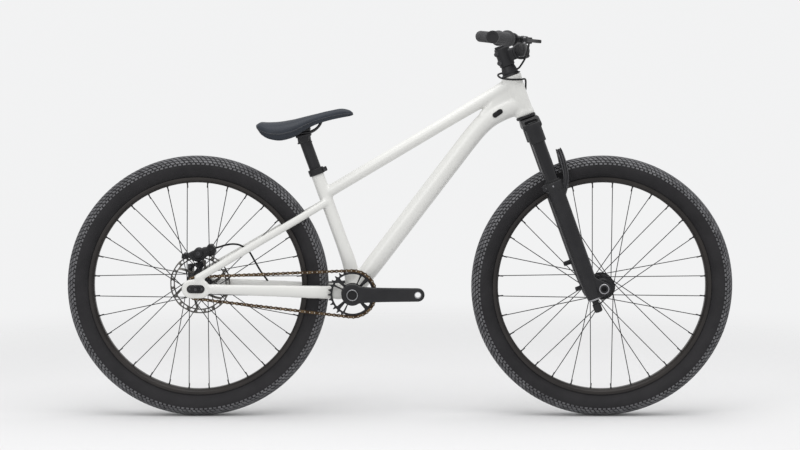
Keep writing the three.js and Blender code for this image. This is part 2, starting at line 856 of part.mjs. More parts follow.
// The disc: a braking track with slots, swept arms and a carrier.
function rotorBody() {
  const trackInner = rotorRadius - rotorTrackWidth;
  const rim = new THREE.Path().absarc(0, 0, rotorRadius, 0, 2 * PI);
  const shape = new THREE.Shape(rim.getPoints(2 * fineSides).slice(1));
  shape.holes.push(roundHole(rotorSeatRadius, fineSides));
  const step = (2 * PI) / rotorArms;
  const sweep = rad(rotorSweep);
  for (let arm = 0; arm < rotorArms; arm++) {
    const innerHalf = rotorArmWidth / 2 / rotorCarrierRadius;
    const outerHalf = rotorArmWidth / 2 / trackInner;
    const from = arm * step;
    const points = [];
    for (const [radius, half, turn, way] of [
      [rotorCarrierRadius, innerHalf, 0, 1],
      [trackInner, outerHalf, sweep, -1],
    ]) {
      for (let i = 0; i <= rotorArcSteps; i++) {
        const share = way > 0 ? i / rotorArcSteps : 1 - i / rotorArcSteps;
        const angle = from + turn + lerp(half, step - half, share);
        points.push(v2(radius * cos(angle), radius * sin(angle)));
      }
    }
    shape.holes.push(new THREE.Path(points));
    for (const part of [0, 1]) {
      const angle = from + (part * step) / 2;
      const middle = rotorRadius - rotorTrackWidth / 2;
      const [x, z] = [middle * cos(angle), middle * sin(angle)];
      const slot = slotOutline(rotorHoleLength, rotorHoleWidth, x, z, angle + PI / 4, slotBendSteps);
      shape.holes.push(new THREE.Path(slot.getPoints()));
    }
  }
  return solid(sidePlate(shape, -rotorThickness / 2, rotorThickness / 2));
}

function addFrontWheel(root) {
  const wheel = new THREE.Group();
  wheel.position.copy(frontAxle);
  const end = frontHubHalf;
  const bore = boreFor(frontAxleRadius);
  addMesh(wheel, "front_tyre", tyreBody(), materials.tyreGrey);
  addMesh(wheel, "front_rim", rimBody(), materials.rimBlack);
  const hub = hubBody(-end, end, -frontFlangeOffset, frontFlangeOffset, bore, end - hubLipWidth);
  addMesh(wheel, "front_hub", hub, materials.satinBlack);
  addMesh(wheel, "front_bearing_right", bearingBody(bore, -end), materials.steel);
  addMesh(wheel, "front_bearing_left", bearingBody(bore, end - hubBearingWidth), materials.steel);
  root.add(wheel);
}

function addRearWheel(root) {
  const wheel = new THREE.Group();
  wheel.position.copy(rearAxle);
  const rightEnd = -driverInnerEnd + seatClearance;
  const rotorFace = rearHubWidth / 2 - rotorInset - rotorThickness / 2;
  const leftEnd = rotorFace + rotorThickness + hubLipWidth;
  const bore = boreFor(rearAxleRadius);
  addMesh(wheel, "rear_tyre", tyreBody(), materials.tyreGrey);
  addMesh(wheel, "rear_rim", rimBody(), materials.rimBlack);
  const hub = hubBody(
    rightEnd, leftEnd, -rearFlangeRight, rearFlangeLeft, bore, rotorFace - seatClearance,
  );
  addMesh(wheel, "rear_hub", hub, materials.satinBlack);
  addMesh(wheel, "rear_bearing_right", bearingBody(bore, rightEnd), materials.steel);
  addMesh(wheel, "rear_bearing_left", bearingBody(bore, leftEnd - hubBearingWidth), materials.steel);
  const rotor = geometryOf(rotorBody()).translate(0, rotorFace + rotorThickness / 2, 0);
  addMesh(wheel, "brake_rotor", solid(rotor), materials.steel);
  addMesh(wheel, "cog", cogBody(), materials.steel);
  root.add(wheel);
}

// Centre lines of the frame's tubes
const headFoot = crownTop + cupFlangeLength + 2 * seatClearance;
const headTop = headFoot + headTubeLength;
const seatLineFoot = onSeat(seatTubeOffset / cos(rad(seatAngle)));
const seatTubeLine = new THREE.CurvePath();
seatTubeLine.add(new THREE.QuadraticBezierCurve3(bracket, seatLineFoot, onSeat(seatTubeBend)));
seatTubeLine.add(line(onSeat(seatTubeBend), onSeat(seatTubeLength)));
const downTubeHead = onSteer(headFoot + downTubeOnHead);
const downTubeChord = v3().subVectors(downTubeHead, bracket);
const downTubeAngle = atan2(downTubeChord.z, downTubeChord.x) + rad(downTubeBelly);
const downTubeWay = v3(cos(downTubeAngle), 0, sin(downTubeAngle));
const downTubeStraight = downTubeChord.length() - downTubeBendLength;
const downTubeKnee = bracket.clone().addScaledVector(downTubeWay, downTubeStraight);
const downTubeLine = new THREE.CurvePath();
downTubeLine.add(line(bracket, downTubeKnee));
downTubeLine.add(
  new THREE.CubicBezierCurve3(
    downTubeKnee,
    downTubeKnee.clone().addScaledVector(downTubeWay, downTubeLead),
    downTubeHead.clone().addScaledVector(steerForward, -downTubeTail),
    downTubeHead,
  ),
);
const dropoutInner = rearHubWidth / 2;
const dropoutOuter = dropoutInner + dropoutThickness;
const tabInner = dropoutInner - tabStep;
const stayTip = dropoutOuter - dropoutThickness / 2;

// A stay runs straight in side view while it widens past the tyre to its dropout.
function stayLine(root, tip, side, rootOffset, bulge, placeShares, widthShares) {
  const points = placeShares.map((share, i) => {
    const place = root.clone().lerp(tip, share);
    const width = widthShares[i] < 1
      ? lerp(rootOffset, bulge, widthShares[i])
      : lerp(bulge, stayTip, widthShares[i] - 1);
    return place.setY(side * width);
  });
  return smooth(points);
}

// Places along a stay and how far it has widened there: 1 is abreast of the tyre and 2 is at the dropout.
const seatstayPlaceShares = [0, 0.1, 0.2, 0.32, 0.6, 1];
const seatstayWidthShares = [0, 0.42, 0.84, 1, 1.5, 2];
const chainstayPlaceShares = [0, 0.17, 0.27, 0.45, 0.72, 1];
const chainstayWidthShares = [0, 0.55, 0.97, 1.16, 1.65, 2];

const seatstayLine = (side) =>
  stayLine(
    onSeat(seatTubeLength - seatstayBelowCollar), rearAxle.clone().add(v3(0, 0, dropoutRadius)), side,
    seatstayRootOffset, seatstayBulge, seatstayPlaceShares, seatstayWidthShares,
  );
const chainstayLine = (side) =>
  stayLine(
    bracket, rearAxle.clone().add(v3(dropoutRadius + dropoutLength / 2)), side,
    shellWidth / 2 - chainstayRootInset, chainstayBulge, chainstayPlaceShares, chainstayWidthShares,
  );

const up = v3(0, 0, 1);

// A cable port lies on the down tube's side, a little steeper than the tube.
function portPlate(side, extra, fromDepth, toHeight) {
  const share = 1 - portFromHead / downTubeLine.getLength();
  const place = downTubeLine.getPointAt(share).setY(side * downTubeHalfWidth);
  const along = downTubeLine.getTangentAt(share);
  const turn = atan2(along.z, along.x) + rad(portTilt);
  const shape = slotOutline(portLength + extra, portWidth + extra, 0, 0, turn);
  const plate = sidePlate(shape, place.y - side * fromDepth, place.y + side * toHeight);
  return solid(plate.translate(place.x, 0, place.z));
}

function frameTubes() {
  const seat = solid(
    ovalTube(seatTubeLine, v3(0, 1), (share) => {
      const radius = lerp(seatTubeFootRadius, seatTubeRadius, Math.min(1, share * seatTubeTaper));
      return [radius, radius];
    }, seatTubeSteps, tubeSides),
  );
  const down = solid(
    ovalTube(downTubeLine, v3(0, 1), (share) => {
      const flare = Math.max(0, (share - downTubeFlareShare) / (1 - downTubeFlareShare));
      const foot = Math.max(0, 1 - share / downTubeFootShare);
      return [
        lerp(lerp(downTubeHalfHeight, downTubeHeadHalfHeight, flare), shellRadius - tubeSink, foot),
        lerp(downTubeHalfWidth, shellWidth / 2 - downTubeFootInset, foot),
      ];
    }, downTubeSteps, tubeSides),
  );
  const topLine = line(onSeat(seatTubeLength - topTubeBelowCollar), onSteer(headFoot + topTubeOnHead));
  const top = solid(
    ovalTube(topLine, v3(0, 1), (share) => {
      const flare = Math.max(0, (share - topTubeFlareShare) / (1 - topTubeFlareShare));
      const radius = lerp(topTubeRadius, topTubeHeadRadius, flare);
      return [radius, radius];
    }, topTubeSteps, tubeSides),
  );
  const head = solid(
    atSteer(
      turnedUp(
        [
          [0, headFoot], [headTubeRadius, headFoot], [headTubeRadius, headFoot + headCupSeatDepth],
          [headTubeWaist, headFoot + 2 * headCupSeatDepth], [headTubeWaist, headTop - 2 * headCupSeatDepth],
          [headTubeRadius, headTop - headCupSeatDepth], [headTubeRadius, headTop], [0, headTop],
        ],
        fineSides,
      ),
    ),
  );
  const shell = solid(at(drum(shellRadius, -shellWidth / 2, shellWidth / 2), bracket));
  return join(seat, down, top, head, shell);
}

function stays() {
  const pieces = [];
  for (const [, side] of sides) {
    const seatstaySize = () => [seatstayHalfWidth, seatstayHalfHeight];
    const seatstay = ovalTube(seatstayLine(side), up, seatstaySize, seatstaySteps, staySides);
    const chainstay = ovalTube(chainstayLine(side), up, (share) => {
      const halfHeight = lerp(chainstayRootHalfHeight, chainstayTipHalfHeight, share);
      return [chainstayHalfWidth, halfHeight];
    }, chainstaySteps, staySides);
    pieces.push(solid(seatstay), solid(chainstay), dropout(side));
  }
  pieces.push(discTab());
  return pieces;
}

// A dropout: an oval plate with a slot for the axle and an outer recess for the chain tensioner.
function dropout(side) {
  const inner = side * dropoutInner;
  const outer = side * dropoutOuter;
  const length = 2 * dropoutRadius + dropoutLength;
  const plate = solid(sidePlate(slotOutline(length, 2 * dropoutRadius), inner, outer));
  const slotShape = slotOutline(dropoutSlotLength, dropoutSlotWidth, 0, 0, 0, dropoutBendSteps);
  const slot = solid(sidePlate(slotShape, inner - side * cutOverrun, outer + side * cutOverrun));
  const recess = solid(
    sidePlate(
      slotOutline(tensionerLength + 2 * seatClearance, tensionerWidth + 2 * seatClearance),
      outer - side * tensionerRecess, outer + side * cutOverrun,
    ),
  );
  return solid(at(geometryOf(cut(plate, slot, recess)), rearAxle));
}

// Inside the left dropout a tab rises for the brake's bracket.
function discTab() {
  const shape = slotOutline(
    discTabRise, discTabWidth, -discTabBack, discTabRise / 2 + discTabFoot, PI / 2,
  );
  return solid(at(sidePlate(shape, tabInner, dropoutInner + dropoutThickness / 2), rearAxle));
}

function frameBody() {
  const body = join(frameTubes(), ...stays());
  const headBore = solid(
    atSteer(
      turnedUp(
        [
          [0, headFoot - cutOverrun], [headCupSeatRadius, headFoot - cutOverrun],
          [headCupSeatRadius, headFoot + headCupSeatDepth], [headBoreRadius, headFoot + headCupSeatDepth],
          [headBoreRadius, headTop - headCupSeatDepth], [headCupSeatRadius, headTop - headCupSeatDepth],
          [headCupSeatRadius, headTop + cutOverrun], [0, headTop + cutOverrun],
        ],
        fineSides,
      ),
    ),
  );
  const seatBore = solid(
    atSeat(
      post(boreFor(seatPostRadius), seatTubeLength - seatBoreDepth, seatTubeLength + cutOverrun, fineSides),
    ),
  );
  const slotPlace = seatTubeLength - seatSlotLength / 2;
  const slot = new THREE.BoxGeometry(seatSlotWidth, seatTubeRadius + cutOverrun, seatSlotLength + cutOverrun);
  slot.translate(0, -(seatTubeRadius + cutOverrun) / 2, slotPlace + cutOverrun / 2);
  const key = drum(seatSlotEndRadius, -seatTubeRadius - cutOverrun, 0, boltSides);
  key.translate(0, 0, seatTubeLength - seatSlotLength);
  const shellBore = at(drum(shellBoreRadius, -shellWidth, shellWidth), bracket);
  const hosePath = rod(rearHoseEnd, boreFor(hoseRadius, hoseSides), 1, hoseSides);
  return cut(
    body, headBore, seatBore, solid(atSeat(slot)), solid(atSeat(key)), solid(shellBore),
    ...sides.map(([, side]) => portPlate(side, 2 * seatClearance, portDepth, cutOverrun)), solid(hosePath),
  );
}

function addFrame(root) {
  addMesh(root, "frame", frameBody(), materials.frameWhite);
  for (const [word, side] of sides) {
    const port = portPlate(side, 0, portDepth - seatClearance, portProud);
    const hose = solid(rod(frontHoseEnd, boreFor(hoseRadius, hoseSides), 1, hoseSides));
    addMesh(root, "cable_port_" + word, cut(port, hose), materials.satinBlack);
  }
  addMesh(root, "chain", chainBody(), materials.chainBronze);
}

// Headset cups stay with the frame.
function addHeadset(root) {
  const headset = new THREE.Group();
  headset.position.copy(steerFoot);
  headset.rotation.y = -headTilt;
  const bore = boreFor(steererRadius);
  const press = headCupSeatRadius - seatClearance;
  const lowerTop = headFoot - seatClearance;
  const lower = sleeveUp([
    [bore, crownTop + seatClearance], [cupFlangeRadius - cupFlangeTaper, crownTop + seatClearance],
    [cupFlangeRadius, lowerTop], [press, lowerTop], [press, lowerTop + cupInsertLength],
    [bore, lowerTop + cupInsertLength],
  ]);
  const upperFoot = headTop + seatClearance;
  const upper = sleeveUp([
    [bore, upperFoot - cupInsertLength], [press, upperFoot - cupInsertLength], [press, upperFoot],
    [cupFlangeRadius, upperFoot], [spacerRadius, upperFoot + upperCupHeight],
    [bore, upperFoot + upperCupHeight],
  ]);
  addMesh(headset, "headset_lower_cup", lower, materials.satinBlack);
  addMesh(headset, "headset_upper_cup", upper, materials.satinBlack);
  root.add(headset);
}

const sleeveUp = (profile, segments = fineSides) => solid(turnedUp([...profile, profile[0]], segments));

// Axle, nuts and chain tensioners at the rear dropouts.
function addRearAxle(root) {
  const axle = new THREE.Group();
  axle.position.copy(rearAxle);
  const nutFace = dropoutOuter - tensionerRecess + tensionerThickness + 2 * seatClearance;
  const end = nutFace + axleNutLength;
  const spacerEnd = dropoutInner - seatClearance;
  const leftEnd = dropoutInner - rotorInset + rotorThickness / 2 + hubLipWidth + seatClearance;
  const shaft = solid(drum(rearAxleRadius, -end, end, smallSides));
  const right = solid(drum(axleSpacerRadius, -spacerEnd, -driverOuterEnd - seatClearance, smallSides));
  const left = solid(drum(axleSpacerRadius, leftEnd, spacerEnd, smallSides));
  addMesh(axle, "rear_axle", join(shaft, right, left), materials.steel);
  const hole = drum(boreFor(rearAxleRadius, smallSides), -end - cutOverrun, end + cutOverrun, smallSides);
  for (const [word, side] of sides) {
    const face = side * nutFace;
    const nut = drum(axleNutRadius, face, side * end, nutSides);
    addMesh(axle, "axle_nut_" + word, cut(solid(nut), solid(hole.clone())), materials.satinBlack);
    const floor = side * (dropoutOuter - tensionerRecess + seatClearance);
    const shape = slotOutline(tensionerLength, tensionerWidth);
    const plate = sidePlate(shape, floor, floor + side * tensionerThickness);
    addMesh(axle, "chain_tensioner_" + word, cut(solid(plate), solid(hole)), materials.satinBlack);
  }
  root.add(axle);
}

// Caliper over the disc's edge, with a piston boss on each side and its bracket below.
function addRearBrake(root) {
  const brake = new THREE.Group();
  const rotorPlane = dropoutInner - rotorInset;
  brake.position.copy(rearAxle).add(v3(-caliperBack, rotorPlane, caliperRise));
  brake.rotation.y = -rad(caliperTurn);
  const halfWidth = caliperWidth / 2;
  const core = solid(sidePlate(slotOutline(caliperLength, caliperHeight), -halfWidth, halfWidth));
  const bossEnd = halfWidth + caliperBossProud;
  const boss = solid(drum(caliperPistonRadius, -bossEnd, bossEnd, bodySides));
  const slotTop = caliperHeight / 2 - caliperBridge;
  const slotBox = new THREE.BoxGeometry(caliperLength + cutOverrun, caliperSlot, caliperHeight + cutOverrun);
  slotBox.translate(0, 0, slotTop - (caliperHeight + cutOverrun) / 2);
  const banjo = drum(caliperBanjoRadius, -caliperBanjoRadius, caliperBanjoRadius, boltSides);
  banjo.translate(caliperLength / 2, 0, caliperBridge / 2);
  const caliper = join(cut(join(core, boss), solid(slotBox)), solid(banjo));
  addMesh(brake, "brake_caliper", caliper, materials.satinBlack);
  root.add(brake);
  const inner = tabInner - seatClearance;
  const shape = outline([
    [-discTabBack - bracketWidth, discTabFoot + bracketWidth],
    [-discTabBack + bracketWidth, discTabFoot + bracketWidth],
    [bracketReach, bracketRise],
    [-discTabBack - bracketWidth, bracketRise - bracketFall],
  ]);
  const body = solid(at(sidePlate(shape, inner - bracketThickness, inner), rearAxle));
  addMesh(root, "caliper_bracket", body, materials.satinBlack);
}

// The rear brake's hose leaves the caliper, passes inside the left seatstay and enters the chainstay.
function addHoses(root) {
  const rear = rod(rearHoseLine, hoseRadius, rearHoseSteps, hoseSides);
  const front = rod(frontHoseLine, hoseRadius, frontHoseSteps, hoseSides);
  addMesh(root, "brake_hose_rear", solid(rear), materials.rubberBlack);
  addMesh(root, "brake_hose_front", solid(front), materials.rubberBlack);
}

// Bottom bracket cups, spindle, crank arms and chainring.
function addCranks(root) {
  const crank = new THREE.Group();
  crank.position.copy(bracket);
  const shellEnd = shellWidth / 2;
  const bore = boreFor(spindleRadius);
  for (const [word, side] of sides) {
    const face = side * (shellEnd + seatClearance);
    const profile = [
      [bore, face - side * cupSleeveLength], [shellBoreRadius - seatClearance, face - side * cupSleeveLength],
      [shellBoreRadius - seatClearance, face], [cupRadius, face], [cupRadius, face + side * cupWidth],
      [bore, face + side * cupWidth],
    ];
    addMesh(crank, "bb_cup_" + word, solid(turned([...profile, profile[0]])), materials.satinBlack);
  }
  const end = crankOuterFace - seatClearance;
  const spindle = solid(sleeve(spindleRadius, spindleBoreRadius, -end, end, fineSides));
  addMesh(crank, "crank_spindle", spindle, materials.steel);
  const arm = crankArmBody(bore);
  addMesh(crank, "crank_arm_right", arm, materials.satinBlack);
  addMesh(crank, "crank_arm_left", solid(geometryOf(plainArm(bore)).rotateZ(PI)), materials.satinBlack);
  const ring = geometryOf(chainringBody()).translate(0, -chainLine, 0);
  addMesh(crank, "chainring", solid(ring), materials.satinBlack);
  const capFace = -crankOuterFace - seatClearance;
  const cap = sleeve(crankCapRadius, crankCapBoreRadius, capFace - crankCapThickness, capFace, fineSides);
  addMesh(crank, "crank_cap", solid(cap), materials.satinBlack);
  root.add(crank);
}

// An arm tapers from its boss to the pedal eye, with its outer edges broken.
function plainArm(bore) {
  const depth = crankArmThickness - 2 * crankEdge;
  const half = crankArmHeight / 2 - crankEdge;
  const tip = crankEndRadius - crankEdge;
  const shape = new THREE.Shape();
  shape.moveTo(0, half).lineTo(0, -half).lineTo(crankLength, -tip);
  shape.absarc(crankLength, 0, tip, -PI / 2, PI / 2);
  const options = {
    depth, bevelEnabled: true, bevelThickness: crankEdge, bevelSize: crankEdge, bevelSegments: 1,
    curveSegments: crankBendSteps,
  };
  const arm = new THREE.ExtrudeGeometry(shape, options).rotateX(PI / 2);
  arm.translate(0, -crankOuterFace + crankArmThickness - crankEdge, 0);
  const boss = turned([
    [0, -crankOuterFace], [crankBossRadius - crankEdge, -crankOuterFace],
    [crankBossRadius, -crankOuterFace + crankEdge], [crankBossRadius, -crankOuterFace + crankBossDepth],
    [0, -crankOuterFace + crankBossDepth],
  ]);
  const throughTo = -crankOuterFace + crankBossDepth + cutOverrun;
  const axleHole = drum(bore, -crankOuterFace - cutOverrun, throughTo);
  const pedalHole = drum(pedalThreadRadius, -crankOuterFace - cutOverrun, throughTo, smallSides);
  return cut(join(solid(arm), solid(boss)), solid(axleHole), solid(pedalHole.translate(crankLength, 0, 0)));
}

function crankArmBody(bore) {
  const cupEnd = shellWidth / 2 + cupWidth + 2 * seatClearance;
  const bossEnd = -crankOuterFace + crankBossDepth - weldDistance;
  const stub = solid(sleeve(crankSpiderRadius, bore, bossEnd, -cupEnd, fineSides));
  return join(plainArm(bore), stub);
}

const stemFoot = headTop + upperCupHeight + spacerLength + 3 * seatClearance;
const stemTop = stemFoot + stemHeight;
const stemMiddle = stemFoot + stemHeight / 2;

// Steerer, crown and stanchions of the fork's upper half, with what clamps to the steerer.
function addSteering(steering) {
  const bore = boreFor(steererRadius);
  const steererEnd = stemTop - seatClearance;
  addMesh(
    steering, "steerer_tube",
    solid(post(steererRadius, crownUnderside + crownPocket, steererEnd, fineSides)), materials.satinBlack,
  );
  addMesh(steering, "fork_crown", crownBody(), materials.satinBlack);
  for (const [word, side] of sides) {
    const leg = post(stanchionRadius, stanchionFoot, socketTop, fineSides);
    leg.translate(legForward, side * legOffset, 0);
    addMesh(steering, "stanchion_" + word, solid(leg), materials.glossBlack);
  }
  const spacerFoot = headTop + upperCupHeight + 2 * seatClearance;
  const spacer = sleeveUp([
    [bore, spacerFoot], [spacerRadius, spacerFoot], [spacerRadius, spacerFoot + spacerLength / 4],
    [spacerTopRadius, spacerFoot + spacerLength], [bore, spacerFoot + spacerLength],
  ]);
  addMesh(steering, "headset_spacer", spacer, materials.satinBlack);
  addStem(steering, bore);
  const capFoot = stemTop + seatClearance;
  const cap = post(topCapRadius, capFoot, capFoot + topCapThickness, fineSides);
  addMesh(steering, "top_cap", solid(cap), materials.satinBlack);
}

// The crown arches from socket to socket, and each socket reaches down round its stanchion.
function crownBody() {
  const shape = new THREE.Shape();
  const outer = legOffset + socketRadius - crownShoulder;
  shape.moveTo(-outer, crownUnderside);
  shape.lineTo(-crownHalfDepth, crownUnderside + crownArch);
  shape.lineTo(crownHalfDepth, crownUnderside + crownArch);
  shape.lineTo(outer, crownUnderside).lineTo(outer, socketTop);
  shape.lineTo(crownHalfDepth + crownShoulder, crownTop).lineTo(-crownHalfDepth - crownShoulder, crownTop);
  shape.lineTo(-outer, socketTop);
  const options = {
    depth: 2 * (crownHalfDepth - crownEdge), bevelEnabled: true,
    bevelThickness: crownEdge, bevelSize: crownEdge / 2, bevelOffset: -crownEdge / 2, bevelSegments: 1,
  };
  // The front view's outline runs across the bicycle and up the steering axis.
  const block = new THREE.ExtrudeGeometry(shape, options).rotateX(PI / 2).rotateZ(PI / 2);
  block.translate(legForward - crownHalfDepth + crownEdge, 0, 0);
  const pieces = [solid(block)];
  const pocketFoot = crownUnderside + crownPocket - seatClearance;
  const cuts = [solid(post(boreFor(steererRadius), pocketFoot, crownTop + cutOverrun, fineSides))];
  for (const [, side] of sides) {
    const socket = post(socketRadius, socketFoot, socketTop, fineSides);
    const hole = post(boreFor(stanchionRadius), socketFoot - cutOverrun, socketTop + cutOverrun, fineSides);
    pieces.push(solid(socket.translate(legForward, side * legOffset, 0)));
    cuts.push(solid(hole.translate(legForward, side * legOffset, 0)));
  }
  return cut(join(pieces), cuts);
}

// Stem and faceplate share one bar clamp, parted at its middle.
function addStem(steering, bore) {
  const clamp = drum(barClampRadius, -barClampWidth / 2, barClampWidth / 2);
  clamp.translate(stemReach, 0, stemMiddle);
  const barHole = drum(boreFor(barRadius), -barClampWidth, barClampWidth).translate(stemReach, 0, stemMiddle);
  const arm = new THREE.BoxGeometry(stemReach, stemArmWidth, stemArmHeight);
  arm.translate(stemReach / 2, 0, stemMiddle);
  const steererClamp = post(stemRadius, stemFoot, stemTop, fineSides);
  const steererHole = post(bore, stemFoot - cutOverrun, stemTop + cutOverrun, fineSides);
  const slit = new THREE.BoxGeometry(2 * stemRadius, stemSplit, stemHeight + cutOverrun);
  slit.translate(-stemRadius - bore / 2, 0, stemMiddle);
  const bosses = [-1, 1].map((way) =>
    drum(stemBoltRadius, -stemArmWidth / 2, stemArmWidth / 2, smallSides)
      .translate(-stemRadius + stemBoltSink, 0, stemMiddle + way * stemBoltOffset),
  );
  const frontHalf = new THREE.BoxGeometry(2 * barClampRadius, 2 * barClampWidth, 3 * barClampRadius);
  frontHalf.translate(stemReach + barClampRadius - faceplateGap / 2, 0, stemMiddle);
  const body = join(solid(clamp), solid(arm), solid(steererClamp), ...bosses.map(solid));
  const stem = cut(body, solid(barHole), solid(steererHole), solid(slit), solid(frontHalf));
  addMesh(steering, "stem", stem, materials.satinBlack);
  const bolts = [-1, 1].flatMap((across) =>
    [-1, 1].map((rise) =>
      drum(faceplateBoltRadius, 0, barClampRadius, boltSides)
        .rotateZ(-PI / 2)
        .translate(stemReach, across * faceplateBoltAcross, stemMiddle + rise * faceplateBoltRise),
    ),
  );
  const backHalf = frontHalf.clone().translate(-2 * barClampRadius + faceplateGap, 0, 0);
  const plate = join(solid(clamp.clone()), ...bolts.map(solid));
  addMesh(steering, "stem_faceplate", cut(plate, solid(barHole), solid(backHalf)), materials.satinBlack);
}

// Places along the straight outer part of the handlebar, at a distance across from the middle.
const barPlace = (across) => {
  const out = Math.abs(across) - barBendOffset;
  const rise = barRise + out * tan(rad(barUpSweep));
  return v3(stemReach - out * tan(rad(barBackSweep)), across, stemMiddle + rise);
};

// Half the bar's centre line: the straight grip end, the bend and the flat clamp.
function barCurves() {
  const flatEnd = barClampLength / 2;
  const middle = (across) => v3(stemReach, across, stemMiddle);
  const curves = new THREE.CurvePath();
  const bend = (side) => [
    barPlace(side * (barBendOffset + barEndRadius)), barPlace(side * barBendOffset * barBendShare),
    middle(side * lerp(flatEnd, barBendOffset, 1 - barBendShare)), middle(side * flatEnd),
  ];
  curves.add(line(barPlace(-barHalfWidth), bend(-1)[0]));
  curves.add(new THREE.CubicBezierCurve3(...bend(-1)));
  curves.add(line(middle(-flatEnd), middle(flatEnd)));
  curves.add(new THREE.CubicBezierCurve3(...bend(1).reverse()));
  curves.add(line(bend(1)[0], barPlace(barHalfWidth)));
  return curves;
}

function addHandlebar(steering) {
  const curve = barCurves();
  const flatEnd = barClampLength / 2;
  const bar = ovalTube(curve, up, (share) => {
    const across = Math.abs(curve.getPointAt(share).y);
    const taper = THREE.MathUtils.clamp((across - flatEnd) / (barBendOffset - flatEnd), 0, 1);
    const radius = lerp(barRadius, barEndRadius, taper);
    return [radius, radius];
  }, barSteps, smallSides);
  addMesh(steering, "handlebar", solid(bar), materials.satinBlack);
  for (const [word, side] of sides) {
    const outer = barPlace(side * (barHalfWidth - seatClearance));
    const inner = barPlace(side * (barHalfWidth - gripLength));
    const boreFrom = barPlace(side * (barHalfWidth + cutOverrun));
    const boreTo = barPlace(side * (barBendOffset + barEndRadius));
    const bore = rod(line(boreFrom, boreTo), boreFor(barEndRadius, smallSides), 1, smallSides);
    addMesh(steering, "grip_" + word, cut(gripSkin(inner, outer), solid(bore)), materials.rubberBlack);
    const way = v3().subVectors(outer, inner).normalize();
    const plugFoot = barPlace(side * barHalfWidth).addScaledVector(way, seatClearance);
    const plugEnd = plugFoot.clone().addScaledVector(way, plugThickness);
    const plug = rod(line(plugFoot, plugEnd), gripRadius, 1, smallSides);
    addMesh(steering, "bar_plug_" + word, solid(plug), materials.rubberBlack);
  }
}

// A grip's ribs run round it, and a flange stops the thumb.
function gripSkin(inner, outer) {
  const flangeSteps = [[0, gripFlangeRadius], [gripFlangeThickness / gripLength, gripFlangeRadius]];
  const ribSteps = Array.from({ length: 2 * gripRibs }, (_, i) => [
    lerp(gripFlangeThickness / gripLength, 1, (i + 1) / (2 * gripRibs)),
    gripRadius - (i % 2 ? 0 : gripRibDepth),
  ]);
  const axis = line(inner, outer);
  const side = v3().crossVectors(axis.getTangentAt(0), up).normalize();
  const top = v3().crossVectors(side, axis.getTangentAt(0));
  const rings = [...flangeSteps, ...ribSteps].map(([share, radius]) =>
    Array.from({ length: smallSides }, (_, i) => {
      const angle = ((i + 1 / 2) * 2 * PI) / smallSides;
      const onSide = axis.getPointAt(share).addScaledVector(side, radius * cos(angle));
      return onSide.addScaledVector(top, radius * sin(angle));
    }),
  );
  return solid(loft(rings));
}

// The right lever: a clamp on the bar, a body ahead of it and the blade on its pivot.
function addLever(steering) {
  const lever = new THREE.Group();
  lever.position.copy(barPlace(-(barHalfWidth - gripLength - leverFromGrip)));
  const way = v3().subVectors(barPlace(-barBendOffset), barPlace(-barHalfWidth)).normalize();
  lever.quaternion.setFromUnitVectors(v3(0, 1), way).multiply(
    new THREE.Quaternion().setFromAxisAngle(v3(0, 1), rad(leverAngle)),
  );
  const halfClamp = leverClampLength / 2;
  const clamp = solid(drum(leverClampRadius, -halfClamp, halfClamp));
  const neck = new THREE.BoxGeometry(leverBodyOffset, leverClampLength, leverClampRadius);
  neck.translate(leverBodyOffset / 2, 0, 0);
  const reservoir = solid(
    drum(leverBodyRadius, leverPivotBack + leverPivotRadius, leverBodyLength - leverClampLength, bodySides)
      .translate(leverBodyOffset, 0, 0),
  );
  const halfYoke = leverBladeThickness / 2 + leverYokeGap + leverEarThickness;
  const earMiddle = leverBodyOffset + leverPivotForward / 2;
  const earShape = slotOutline(leverPivotReach, 2 * leverPivotRadius, earMiddle, leverPivotBack);
  const ears = new THREE.ExtrudeGeometry(earShape, { depth: 2 * halfYoke, bevelEnabled: false });
  ears.translate(0, 0, -halfYoke);
  const link = solid(
    new THREE.BoxGeometry(leverPivotRadius, -leverPivotBack + leverPivotRadius, 2 * halfYoke)
      .translate(leverBodyOffset - leverPivotRadius / 2, (leverPivotBack + leverPivotRadius) / 2, 0),
  );
  const gapHeight = leverBladeThickness + 2 * leverYokeGap;
  const gap = new THREE.BoxGeometry(4 * leverPivotRadius, 4 * leverPivotRadius, gapHeight);
  const gapMiddle = leverBodyOffset + leverPivotForward + leverPivotRadius - leverSwingRoom;
  gap.translate(gapMiddle, leverPivotBack - leverPivotRadius, 0);
  const pin = post(leverPivotPinRadius, -halfYoke + weldDistance, halfYoke - weldDistance, boltSides)
    .translate(leverBodyOffset + leverPivotForward, leverPivotBack, 0);
  const barHole = drum(boreFor(barEndRadius), -leverBodyLength, leverBodyLength);
  const shell = join(clamp, solid(neck), reservoir, solid(ears), link);
  const housing = join(cut(shell, solid(barHole), solid(gap)), solid(pin));
  addMesh(lever, "brake_lever_housing", housing, materials.satinBlack);
  lever.add(leverBlade());
  steering.add(lever);
}

